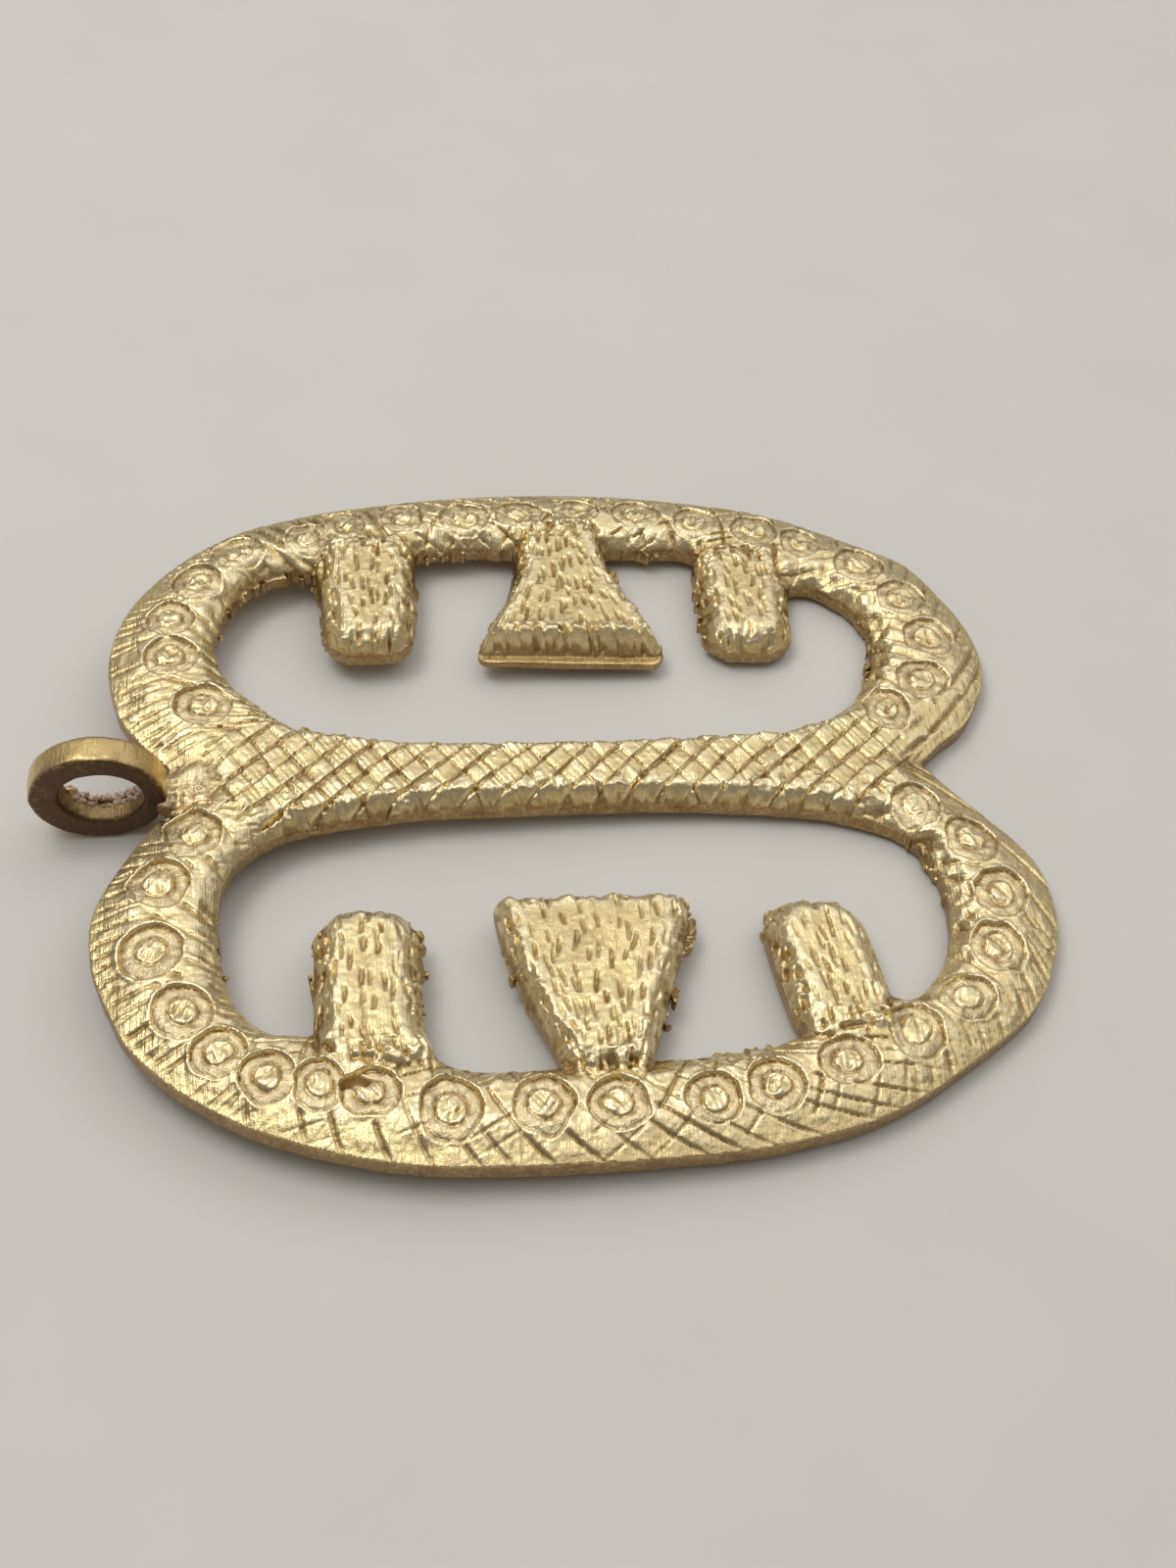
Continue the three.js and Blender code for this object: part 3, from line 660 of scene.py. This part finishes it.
# Cuts run out towards the edges, so that the walls keep their height
fade = 0.35 + 0.65 * ramp(metal_depth, 0.0, 0.9 - 0.6 * hatched)
fade = fade + (1 - fade) * np.maximum(0.8 * hatched, 0.65 * on_tooth)
height = body + relief * fade
on_lip = ramp(-teeth_depth[LIP_TOOTH], -0.05, 0.3) * ramp(lip_depth, -0.6, 0.1)
on_lip = on_lip * ramp(LIP_LINE[0] - Y + LIP_LINE[1] * X, -0.6, 0.2) * ramp(-band_depth, 0.5, 1.0)
height = height * (1 - on_lip) + LIP_HEIGHT * on_lip
height = np.maximum(height, 0.7 + ramp(flash, 0.1, 0.4) * (0.5 + 0.4 * noise(0.9, 47)))
# How sunk each place is: the brass paints shade into hollows and a highlight on crests
hollow = np.clip((grid_blur(height, 0.7) - height) / 0.22, -1, 1)


# Cutting the relief along its outline

def at_places(field, x, y):
    """A grid field, read between its places."""
    u = np.clip((x - grid_x[0]) / STEP, 0, len(grid_x) - 1.001)
    v = np.clip((y - grid_y[0]) / STEP, 0, len(grid_y) - 1.001)
    j, i = u.astype(int), v.astype(int)
    a, b = u - j, v - i
    low = field[i, j] * (1 - a) + field[i, j + 1] * a
    high = field[i + 1, j] * (1 - a) + field[i + 1, j + 1] * a
    return low * (1 - b) + high * b


slope_y, slope_x = np.gradient(metal_depth, STEP)
steepness = np.hypot(slope_x, slope_y)
close = abs(metal_depth) < 0.28 * STEP * steepness
inside = close | (metal_depth > 0)
snap = np.where(close, metal_depth / np.maximum(steepness, 0.2) ** 2, 0)
node_number = np.arange(X.size).reshape(X.shape)
places = [np.stack([X - snap * slope_x, Y - snap * slope_y], -1).reshape(-1, 2)]
place_count = X.size


def crossings(axis):
    """Numbers of the places where the outline crosses the grid's lines along one axis."""
    global place_count
    first = tuple(slice(None, -1) if a == axis else slice(None) for a in (0, 1))
    second = tuple(slice(1, None) if a == axis else slice(None) for a in (0, 1))
    crossed = inside[first] != inside[second]
    inner = np.where(inside[first], node_number[first], node_number[second])
    numbers = np.where(crossed, inner, -1)
    fresh = crossed & ~close.ravel()[inner]
    share = metal_depth[first] / np.where(fresh, metal_depth[first] - metal_depth[second], 1)
    x = X[first] + share * (X[second] - X[first])
    y = Y[first] + share * (Y[second] - Y[first])
    numbers[fresh] = place_count + np.arange(fresh.sum())
    places.append(np.stack([x[fresh], y[fresh]], -1))
    place_count += int(fresh.sum())
    return numbers


across_numbers = crossings(1)
along_numbers = crossings(0)
places = np.vstack(places)
on_outline = np.ones(place_count, bool)
on_outline[:X.size] = close.ravel()


def cell_corners(field):
    return [field[:-1, :-1], field[:-1, 1:], field[1:, 1:], field[1:, :-1]]


corner_numbers = cell_corners(node_number)
edge_numbers = [
    across_numbers[:-1], along_numbers[:, 1:], across_numbers[1:], along_numbers[:, :-1]]
cell_kind = sum(mark.astype(int) << k for k, mark in enumerate(cell_corners(inside)))

NODES = ["upper_lobe_band", "lower_lobe_band", "tongue_bar", *TEETH, "bail_neck"]
TIP_MARGIN = 2.5
SIDE_MARGIN = 0.9


def cell_owners():
    """Number of the node that each grid cell belongs to, parted where the solids are parted."""
    x = X[:-1, :-1] + STEP / 2
    y = Y[:-1, :-1] + STEP / 2
    boxes = {name: [np.array(corner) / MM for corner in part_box(name)] for name in NODES}
    waist = boxes["upper_lobe_band"][0][1]
    owners = np.where(y > waist, NODES.index("upper_lobe_band"), NODES.index("lower_lobe_band"))
    low, high = boxes["tongue_bar"]
    reach = (grid_y[-1] + waist) / 4
    owners[(x > low[0]) & (x < high[0]) & (abs(y - waist) < reach)] = NODES.index("tongue_bar")
    for name in TEETH:
        low, high = boxes[name]
        under, over = (TIP_MARGIN, 0) if name.startswith("upper") else (0, TIP_MARGIN)
        level = (y > low[1] - under) & (y < high[1] + over)
        aside = (x > low[0] - SIDE_MARGIN) & (x < high[0] + SIDE_MARGIN)
        near = teeth_depth[name][:-1, :-1] > -SIDE_MARGIN
        owners[level & aside & (near | (abs(y - low[1]) < TIP_MARGIN))] = NODES.index(name)
    low, high = boxes["bail_neck"]
    owners[(x < high[0]) & (y > low[1]) & (y < high[1])] = NODES.index("bail_neck")
    return owners


owners = cell_owners()


def faces_of(owner):
    """Faces of the relief that belong to one node: whole cells as quads, and cut ones as triangles."""
    mine = owners == owner
    quads = np.stack([number[mine & (cell_kind == 15)] for number in corner_numbers], -1)
    triangles = []
    for kind in range(1, 15):
        cells = mine & (cell_kind == kind)
        ring = []
        for k in range(4):
            here, after = kind >> k & 1, kind >> (k + 1) % 4 & 1
            if here:
                ring.append(corner_numbers[k][cells])
            if here != after:
                ring.append(edge_numbers[k][cells])
        for second, third in zip(ring[1:], ring[2:]):
            triangles.append(np.stack([ring[0], second, third], -1))
    triangles = np.vstack(triangles)
    a, b, c = triangles.T
    return quads, triangles[(a != b) & (b != c) & (c != a)]


def open_edges(quads, triangles):
    """Edges with a face on one side only, with that face on their left."""
    edges = [faces[:, [k, (k + 1) % n]] for faces, n in ((quads, 4), (triangles, 3)) for k in range(n)]
    start, end = np.vstack(edges).T
    found = ~np.isin(start * place_count + end, end * place_count + start)
    return np.stack([start[found], end[found]], -1)


# Rows of a wall, from its rim to the back: share of the rim's height, and how far it stands out
WALL_ROWS = [(0.92, 0.03), (0.78, 0.05), (0.55, 0.06), (0.3, 0.04), (0.1, 0.01), (0.0, 0.0)]
BACK_PITCH = 5
BACK_MARGIN = 0.55
MAP_MARGIN = 5.0


def back_height(x, y):
    """The back is flat but for the skin that the casting took from its mould."""
    skin = 0.5 + 0.35 * noise_at(x, y, 3.0, 30) + 0.25 * noise_at(x, y, 1.1, 31)
    return 0.16 * np.clip(skin, 0, 1)


def back_points(owner):
    """Places on the back of one node, clear of its edges."""
    i, j = pairs(*[np.arange(BACK_PITCH, count - BACK_PITCH, BACK_PITCH) for count in X.shape])
    good = metal_depth[i, j] > BACK_MARGIN
    for di, dj in zip(*pairs((-4, 3), (-4, 3))):
        good &= owners[i + di, j + dj] == owner
    x, y = X[i, j][good], Y[i, j][good]
    return np.stack([x + 0.2 * noise_at(x, y, 0.4, 32), y + 0.2 * noise_at(x, y, 0.4, 33)], -1)


SHARP_ANGLE = 72
# What each vertex knows of its finish and of the shade and highlight painted on it: how sunk it
# is, whether it is on a wall, how far round the loop it is, and how dull the metal is
FINISH_AND_SHADE_FIELDS = ("hollow", "side", "run", "dull")


class Piece:
    """Vertices in millimetres with their finish and painted shade, faces with places on the texture
    map.
    """

    def __init__(self):
        self.points = []
        self.finish = []
        self.count = 0
        self.faces = []
        self.maps = []
        self.kinds = []

    def add_points(self, points, hollow, side, run, dull=0.0):
        """Adds vertices, and gives back their numbers."""
        self.points.append(points)
        columns = [np.broadcast_to(each, len(points)) for each in (hollow, side, run, dull)]
        self.finish.append(np.stack(columns, -1))
        self.count += len(points)
        return np.arange(self.count - len(points), self.count)

    def add_faces(self, faces, maps, kind=0):
        """faces and maps are arrays with a row for each face, maps with a place for each corner."""
        self.faces.extend(faces.tolist())
        self.maps.append(maps.reshape(-1, 2))
        self.kinds.extend([kind] * len(faces))

    def build(self, name, materials, node, slot):
        mesh = bpy.data.meshes.new(name)
        mesh.from_pydata((np.vstack(self.points) * MM).tolist(), [], self.faces)
        for label, values in zip(FINISH_AND_SHADE_FIELDS, np.vstack(self.finish).T):
            field = mesh.attributes.new(label, "FLOAT", "POINT")
            field.data.foreach_set("value", values.astype(np.float32))
        maps = np.vstack(self.maps) - np.vstack(self.maps).min(0)
        mesh.uv_layers.new(name="OFBake").uv.foreach_set("vector", (maps / maps.max()).ravel())
        mesh.polygons.foreach_set("material_index", self.kinds)
        mesh.shade_smooth()
        mesh.set_sharp_from_angle(angle=radians(SHARP_ANGLE))
        for material in materials:
            mesh.materials.append(material)
        piece = new_object(name, mesh)
        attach(piece, "root")
        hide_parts(node)


# A lump of metal or a grain of sand: a small uneven ball
LUMP_SIDES = 9
LUMP_RINGS = 6


def lump_faces():
    """Triangles of a ball whose poles come after its rings."""
    faces = []
    for ring in range(LUMP_RINGS - 2):
        for k in range(LUMP_SIDES):
            a, b = [ring * LUMP_SIDES + n % LUMP_SIDES for n in (k, k + 1)]
            faces += [(a, b, b + LUMP_SIDES), (a, b + LUMP_SIDES, a + LUMP_SIDES)]
    last = (LUMP_RINGS - 2) * LUMP_SIDES
    south = last + LUMP_SIDES
    for k in range(LUMP_SIDES):
        after = (k + 1) % LUMP_SIDES
        faces += [(south, after, k), (south + 1, last + k, last + after)]
    return np.array(faces)


def lump_points(place, half, number):
    rise = (np.arange(1, LUMP_RINGS) / LUMP_RINGS - 0.5) * pi
    rise, turn = pairs(rise, np.arange(LUMP_SIDES) / LUMP_SIDES * 2 * pi)
    ball = np.stack([np.cos(rise) * np.cos(turn), np.cos(rise) * np.sin(turn), np.sin(rise)], -1)
    ball = np.vstack([ball, [0, 0, -1], [0, 0, 1]])
    swell = noise_at(ball[:, 0] + 5.1 * number, ball[:, 1] + 1.7 * ball[:, 2], 0.6, 34)
    return np.array(place) + ball * (1 + 0.4 * swell[:, None]) * np.array(half)


def new_object(name, data):
    piece = bpy.data.objects.new(name, data)
    scene.collection.objects.link(piece)
    return piece


def add_lump(piece, place, half, number, away=(0.0, 0.0), side=0.0, kind=0):
    points = lump_points(place, half, number)
    numbers = piece.add_points(points, 0.0, side, 0.0)
    faces = lump_faces()
    maps = points[:, :2] + np.array(away) * MAP_MARGIN
    piece.add_faces(numbers[faces], maps[faces], kind)


# Crumbs of metal left along the edges of a node: place, spread, how many, and size
CRUMBS = {
    "tongue_bar": [(-21.5, 7.2, 2, 5, 0.42), (-12, 5.5, 1.3, 4, 0.32), (8, 4.9, 4, 3, 0.22)],
    "lower_left_tooth": [(-23.6, -17, 3, 4, 0.3), (-14.3, -20, 3.5, 5, 0.34)],
    "lower_middle_tooth": [
        (8.9, -17, 2.5, 7, 0.45), (6, -24.5, 2, 4, 0.36), (-7, -21, 3, 4, 0.3)],
    "upper_middle_tooth": [(9, 22, 2.5, 4, 0.32)],
    "upper_right_tooth": [(15.4, 22, 2.5, 4, 0.3)],
    "upper_left_tooth": [(-21.9, 23, 2.5, 4, 0.3), (-12.6, 24, 2, 3, 0.26)],
    "upper_lobe_band": [
        (-9, 30.6, 1.5, 4, 0.36), (30.6, 12, 2, 5, 0.36), (-30.8, 22.5, 2.5, 4, 0.3),
        (12, 30, 1.5, 3, 0.32)],
    "lower_lobe_band": [
        (10, -29.6, 2, 5, 0.42), (-9, -30.2, 2, 3, 0.3), (31.6, -12, 3, 4, 0.28),
        (-31, -17, 4, 5, 0.28)],
}
CRUMB_ROWS = [(node, *row) for node, rows in CRUMBS.items() for row in rows]
CRUMB_STRIDE = 10


def add_crumbs(piece, node):
    for order, (owner, middle_x, middle_y, spread, count, size) in enumerate(CRUMB_ROWS):
        for number in range(order * CRUMB_STRIDE, order * CRUMB_STRIDE + count * (owner == node)):
            x = middle_x + spread * (2 * chance(number, 40) - 1)
            y = middle_y + spread * (2 * chance(number, 41) - 1)
            for _ in range(6):
                lean_x, lean_y = at_places(slope_x, x, y), at_places(slope_y, x, y)
                steep = max(hypot(lean_x, lean_y), 0.3)
                gap = at_places(metal_depth, x, y) / steep
                x, y = x - gap * lean_x / steep, y - gap * lean_y / steep
            if abs(gap) > 0.1:
                continue
            half = size * (0.4 + 0.9 * np.array([chance(number, kind) for kind in (42, 43, 44)]))
            level = at_places(height, x, y) * (0.35 + 0.5 * chance(number, 45))
            away = (-lean_x / steep, -lean_y / steep)
            # Crumbs take a share of the walls' painted shade
            add_lump(piece, (x, y, max(level, half[2] + 0.2)), half, number, away, side=0.3)


def build_relief(node):
    owner = NODES.index(node)
    quads, triangles = faces_of(owner)
    used = np.unique(np.concatenate([quads.ravel(), triangles.ravel()]))
    flat = places[used]
    rim, sunk, run, dull = [at_places(each, *flat.T) for each in (height, hollow, loop_run, frost)]
    piece = Piece()
    numbers = np.full(place_count, -1)
    numbers[used] = piece.add_points(np.column_stack([flat, rim]), sunk, 0.0, run, dull)
    for faces in (quads, triangles):
        piece.add_faces(numbers[faces], flat[numbers[faces]])
    edges = numbers[open_edges(quads, triangles)]
    border = np.unique(edges)
    edges = np.searchsorted(border, edges)
    flat, rim, run = flat[border], rim[border], run[border]
    out = -np.stack([at_places(slope_x, *flat.T), at_places(slope_y, *flat.T)], -1)
    out /= np.maximum(np.hypot(*out.T), 0.2)[:, None]
    out *= on_outline[used[border]][:, None]
    sole = back_height(*flat.T)
    row, map_row = border, flat
    for share, stand in WALL_ROWS:
        level = sole + (rim - sole) * share
        rough = 0.05 * noise_at(flat[:, 0] + 0.8 * flat[:, 1], 2.5 * level, 1.0, 35) * (share > 0)
        at = flat + out * (stand + rough)[:, None]
        next_map = flat + out * (rim - level)[:, None]
        # Walls are marked as side, which the brass darkens as painted shade
        next_row = piece.add_points(np.column_stack([at, level]), 0.0, 1.0, run)
        a, b = edges.T
        faces = np.stack([row[b], row[a], next_row[a], next_row[b]], -1)
        piece.add_faces(faces, np.stack([map_row[b], map_row[a], next_map[a], next_map[b]], 1))
        row, map_row = next_row, next_map
    inner = back_points(owner)
    flat_back = np.vstack([flat, inner])
    points = [Vector(each) for each in flat_back.tolist()]
    found = delaunay_2d_cdt(points, edges.tolist(), [], 0, 1e-5)
    origins = np.array([each[0] if each else -1 for each in found[3]])
    faces = origins[np.array(found[2])]
    faces = faces[(faces >= 0).all(1)]
    middles = flat_back[faces].mean(1)
    faces = faces[enclosed(flat[edges[:, 0]], flat[edges[:, 1]], *middles.T)][:, ::-1]
    # The back is marked as side too, with the same painted shade
    inner_numbers = piece.add_points(np.column_stack([inner, back_height(*inner.T)]), 0.0, 1.0, 0.0)
    back_numbers = np.concatenate([row, inner_numbers])
    size = flat_back.max(0) - flat_back.min(0)
    shift = (size + 2 * MAP_MARGIN) * ((1, 0) if size[0] < size[1] else (0, 1))
    piece.add_faces(back_numbers[faces], flat_back[faces] + shift)
    add_crumbs(piece, node)
    return piece


# Bail ring: swept round an oval, in the plane across the pendant. Its hole is off its middle,
# so the wall is thicker on the left.
RING_LENGTH = 12.2
RING_HEIGHT = 11.0
RING_WALL = 2.45
RING_WALL_SHIFT = 0.35
RING_TURNS = 300
RING_SIDES = 64
RING_SQUARENESS = 6.5
RING_CLEARANCE = 0.03


def ring_surface(turn, across, radial):
    """Places on the ring: turn about its axis, and the section's coordinates from -1 to 1."""
    low, high = [np.array(corner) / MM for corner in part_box("bail_ring")]
    centre = np.array([low[0] + RING_LENGTH / 2, (low[1] + high[1]) / 2, low[2] + RING_HEIGHT / 2])
    half_width = (high[1] - low[1]) / 2 - RING_CLEARANCE
    lumps = 0.07 * (1 - noise_at(turn * 5, across * 1.5, 0.8, 50)) + RING_CLEARANCE
    lumps = lumps + 0.025 * (1 - noise_at(turn * 14, across * 2.5, 0.8, 54))
    wall = RING_WALL - RING_WALL_SHIFT * np.cos(turn)
    wall = wall + 0.1 * noise_at(turn * 2, across * 0.7, 0.9, 52) * (radial < 0)
    a, b = RING_LENGTH / 2, RING_HEIGHT / 2
    lean_x, lean_z = np.cos(turn) / a, np.sin(turn) / b
    size = np.hypot(lean_x, lean_z)
    deep = lumps + (wall - lumps) * (1 - radial) / 2
    x = centre[0] + a * np.cos(turn) - lean_x / size * deep
    y = centre[1] + half_width * across * (1 - 0.03 * (1 + noise_at(turn * 4, radial, 0.9, 51)))
    z = centre[2] + b * np.sin(turn) - lean_z / size * deep
    return np.stack([x, y, z], -1)


def squared(wave):
    """A wave with flattened tops, which turns the ring's round section into a nearly square one."""
    return np.sign(wave) * abs(wave) ** (2 / RING_SQUARENESS)


def build_ring():
    piece = Piece()
    turn, section = pairs(*[np.arange(n) / n * 2 * pi for n in (RING_TURNS, RING_SIDES)])
    across, radial = squared(np.cos(section)), squared(np.sin(section))
    # The ring's bore counts as hollow and its flat faces as walls, so both get painted shade
    inner = np.clip(-radial, 0, 1) ** 4
    numbers = piece.add_points(
        ring_surface(turn, across, radial), inner, abs(across) ** 6, turn * RING_HEIGHT / 2)
    here = numbers.reshape(RING_TURNS, RING_SIDES)
    after = np.roll(here, -1, axis=0)
    faces = np.stack([here, after, np.roll(after, -1, axis=1), np.roll(here, -1, axis=1)], -1)
    u = np.arange(RING_TURNS + 1) / RING_TURNS * RING_LENGTH * 3
    v = np.arange(RING_SIDES + 1) / RING_SIDES * RING_LENGTH * 0.9
    u, v = pairs(u, v)
    maps = np.stack([u, v], -1).reshape(RING_TURNS + 1, RING_SIDES + 1, 2)
    corners = [maps[:-1, :-1], maps[1:, :-1], maps[1:, 1:], maps[:-1, 1:]]
    piece.add_faces(faces.reshape(-1, 4), np.stack(corners, 2).reshape(-1, 4, 2))
    add_grains(piece)
    return piece


# Grains of casting sand along the far rim of the ring's lower inner surface, and a bead of metal
GRAINS = 130
GRAIN_TURNS = (222, 338)
BEAD = dict(turn=220, across=0.75, half=(0.5, 0.42, 0.4))


def on_bore(degrees, across):
    """A place on the ring's inner surface."""
    return ring_surface(*np.array([[radians(degrees)], [across], [-1.0]]))[0]


def add_grains(piece):
    for k in range(GRAINS):
        share = [chance(7 * k, kind) for kind in (46, 47, 48, 49)]
        across = 0.95 - 0.65 * share[1] ** 1.6
        place = on_bore(GRAIN_TURNS[0] + (GRAIN_TURNS[1] - GRAIN_TURNS[0]) * share[0], across)
        place[2] += 0.45 * chance(k, 53) * (across > 0.6)
        half = 0.1 + 0.2 * share[2] * np.array([1, 0.7 + 0.5 * share[3], 0.8])
        add_lump(piece, place, half, 300 + k, kind=1)
    add_lump(piece, on_bore(BEAD["turn"], BEAD["across"]), BEAD["half"], 299)


# Finishes, with painted shade and a painted highlight

class Finish:
    """A node material, made a node at a time. Inputs are sockets to link or plain values."""

    def __init__(self, name):
        self.material = bpy.data.materials.new(name)
        self.material.use_nodes = True
        self.tree = self.material.node_tree
        self.shader = self.tree.nodes["Principled BSDF"]

    def feed(self, node, inputs):
        for key, value in inputs.items():
            if isinstance(value, bpy.types.NodeSocket):
                self.tree.links.new(value, node.inputs[key])
            else:
                node.inputs[key].default_value = value

    def node(self, kind, inputs, **settings):
        node = self.tree.nodes.new("ShaderNode" + kind)
        for key, value in settings.items():
            setattr(node, key, value)
        self.feed(node, inputs)
        return node

    def maths(self, operation, *values, clamp=False):
        inputs = dict(enumerate(values))
        return self.node("Math", inputs, operation=operation, use_clamp=clamp).outputs[0]

    def times(self, first, second, clamp=False):
        return self.maths("MULTIPLY", first, second, clamp=clamp)

    def total(self, value, *parts):
        """The value, and each part times its weight."""
        for part, weight in parts:
            value = self.maths("MULTIPLY_ADD", part, weight, value)
        return value

    def ramp(self, value, low, high, start=0.0, end=1.0):
        inputs = {"Value": value, "From Min": low, "From Max": high, "To Min": start, "To Max": end}
        return self.node("MapRange", inputs, interpolation_type="SMOOTHSTEP").outputs["Result"]

    def vector(self, x, y, z):
        return self.node("CombineXYZ", {"X": x, "Y": y, "Z": z}).outputs[0]

    def noise(self, vector, scale, detail=2.0, roughness=0.5):
        inputs = {"Vector": vector, "Scale": scale, "Detail": detail, "Roughness": roughness}
        return self.node("TexNoise", inputs).outputs["Fac"]

    def scratches(self, vector, degrees, fineness, length):
        """Noise drawn out into scratches along a direction of the plan."""
        angle = (0, 0, radians(degrees))
        scale = (fineness, length, length)
        placed = self.node("Mapping", {"Vector": vector, "Rotation": angle, "Scale": scale})
        return self.noise(placed.outputs[0], 1.0, 3.0, 0.6)

    def mix(self, share, first, second):
        node = self.node("Mix", {"Factor": share}, data_type="RGBA")
        self.feed(node, {6: first, 7: second})
        return node.outputs[2]


# Scratches of the last rub: direction in degrees, scale across and scale along
SCRATCHES = [(32, 5200, 260), (-48, 6100, 330), (80, 4700, 420)]
BUMP_DISTANCE = 0.00006


def brass(name, pale, deep, shade_brown, frosted, roughness, wall_shade):
    """Satin brass: paler on convex edges, partly wear and partly a painted highlight, and browner
    in hollows and on the walls, which is painted shade.
    """
    make = Finish(name)
    spot = make.node("TexCoord", {}).outputs["Object"]
    hollow, side, run, dull = [
        make.node("Attribute", {}, attribute_name=each).outputs["Fac"] for each in FINISH_AND_SHADE_FIELDS]
    fine = make.noise(spot, 2400, 3, 0.65)
    grit = make.noise(spot, 6500)
    patches = make.ramp(make.noise(spot, 260, 3), 0.42, 0.75)
    # Painted shade: hollows and walls go dark brown; the noise patches are real, random tone
    shade_and_stain = make.times(make.ramp(hollow, -0.1, 0.65), 0.62)
    shade_and_stain = make.total(shade_and_stain, (side, wall_shade), (patches, 0.22 * wall_shade))
    shade_and_stain = make.times(shade_and_stain, make.ramp(fine, 0.25, 0.6, 0.6, 1.0), clamp=True)
    skin = make.times(dull, make.ramp(fine, 0.3, 0.65, 0.12, 0.55), clamp=True)
    # Convex edges go pale: partly wear, partly a painted highlight
    wear_and_highlight = make.times(make.ramp(hollow, 0.1, -0.7), make.ramp(fine, 0.3, 0.7, 0.5, 1.0))
    wear_and_highlight = make.times(wear_and_highlight, make.maths("SUBTRACT", 1, side), clamp=True)
    colour = make.mix(skin, make.mix(shade_and_stain, deep, shade_brown), frosted)
    colour = make.mix(wear_and_highlight, colour, pale)
    level = make.node("SeparateXYZ", {"Vector": spot}).outputs["Z"]
    across_loop = make.noise(make.vector(make.times(run, 5), 0, level), 1, 4, 0.7)
    along_wall = make.noise(make.vector(make.times(run, 0.25), make.times(level, 9000), 0), 1, 3)
    scratches = make.total(0, *[(make.scratches(spot, *each), 1) for each in SCRATCHES])
    filed = make.mix(side, across_loop, along_wall)
    bumps = make.total(
        scratches, (filed, 1.3), (fine, 1.6), (grit, 0.5), (make.times(dull, grit), 2))
    bump = make.node("Bump", {"Height": bumps, "Distance": BUMP_DISTANCE, "Strength": 0.55})
    rough = make.ramp(scratches, 1.1, 1.9, roughness - 0.07, roughness + 0.08)
    rough = make.total(rough, (shade_and_stain, 0.14), (dull, 0.1))
    make.feed(make.shader, {
        "Base Color": colour, "Metallic": 1, "Roughness": rough, "Normal": bump.outputs[0]})
    return make.material


def sand(name):
    """Grains of casting sand, pinkish white."""
    make = Finish(name)
    spot = make.node("TexCoord", {}).outputs["Object"]
    shade = make.noise(spot, 3000)
    colour = make.mix(make.ramp(shade, 0.35, 0.65), (0.62, 0.42, 0.33, 1), (0.86, 0.74, 0.66, 1))
    make.feed(make.shader, {"Base Color": colour, "Roughness": 0.85})
    return make.material


cast_brass = brass(
    "cast_brass_finish", pale=(0.95, 0.84, 0.54, 1), deep=(0.83, 0.68, 0.35, 1),
    shade_brown=(0.27, 0.155, 0.055, 1), frosted=(0.76, 0.69, 0.5, 1), roughness=0.22, wall_shade=0.8)
# The bail's near-black brown and heavier wall weight paint shade on the ring's front face
bail_brass = brass(
    "bail_brass_finish", pale=(0.9, 0.76, 0.44, 1), deep=(0.76, 0.57, 0.26, 1),
    shade_brown=(0.12, 0.075, 0.045, 1), frosted=(0.6, 0.48, 0.34, 1), roughness=0.24, wall_shade=1.25)
casting_sand = sand("casting_sand_finish")

for node in NODES:
    build_relief(node).build(node + "_cast", [cast_brass], node, "cast_brass")
build_ring().build("bail_ring_cast", [bail_brass, casting_sand], "bail_ring", "bail_brass")


# Floor, lights and camera

FLOOR_SIZE = 1600.0
# How far the ring hangs below the back, and how far its low end is from the back's far edge
RING_HANG = 3.0
REST_LENGTH = 84.3
FLOOR_TILT = atan2(RING_HANG, REST_LENGTH)
FLOOR_PIVOT = (-41.8, 0.0, -RING_HANG)


def build_floor():
    """A plain pale floor, under the ring's low end and the right edge of the back."""
    mesh = bpy.data.meshes.new("floor")
    half = FLOOR_SIZE / 2
    corners = [(-half, -half, 0), (half, -half, 0), (half, half, 0), (-half, half, 0)]
    mesh.from_pydata([[c * MM for c in corner] for corner in corners], [], [(0, 1, 2, 3)])
    floor = new_object("floor", mesh)
    floor.location = Vector(FLOOR_PIVOT) * MM
    floor.rotation_euler = (0, -FLOOR_TILT, 0)
    make = Finish("floor_finish")
    spot = make.node("TexCoord", {}).outputs["Object"]
    shade = make.noise(spot, 60, 4)
    colour = make.mix(shade, (0.74, 0.73, 0.71, 1), (0.8, 0.79, 0.77, 1))
    make.feed(make.shader, {"Base Color": colour, "Roughness": 0.9})
    mesh.materials.append(make.material)


def softbox(name, azimuth, elevation, distance, width, height, energy, colour):
    """An area light that faces the pendant."""
    light = bpy.data.lights.new(name, "AREA")
    light.shape = "RECTANGLE"
    light.size, light.size_y = width, height
    light.energy = energy
    light.color = colour
    a, e = radians(azimuth), radians(elevation)
    toward = Vector((cos(a) * cos(e), sin(a) * cos(e), sin(e)))
    lamp = new_object(name, light)
    lamp.location = toward * distance
    lamp.rotation_euler = toward.to_track_quat("Z", "Y").to_euler()


build_floor()
softbox("key", 160, 66, 0.5, 0.24, 0.2, 0.54, (1.0, 0.985, 0.96))
softbox("ceiling", 85, 72, 0.7, 1.3, 1.55, 4.0, (1.0, 0.985, 0.955))
softbox("fill", 20, 40, 0.7, 0.4, 0.3, 0.2, (0.96, 0.98, 1.0))
world = bpy.data.worlds.new("studio")
world.use_nodes = True
world.node_tree.nodes["Background"].inputs["Color"].default_value = (0.215, 0.2, 0.172, 1)
scene.world = world

camera_data = bpy.data.cameras.new("camera")
camera_data.lens = CAMERA_LENS
camera_data.sensor_width = CAMERA_SENSOR
camera_data.clip_start = CAMERA_CLIP
camera = new_object("camera", camera_data)
turned_to = Matrix((CAMERA_RIGHT, CAMERA_RIGHT.cross(CAMERA_FORWARD), -CAMERA_FORWARD)).transposed()
camera.matrix_world = Matrix.Translation(CAMERA_PLACE * MM) @ turned_to.to_4x4()
scene.camera = camera
scene.view_settings.view_transform = "Standard"
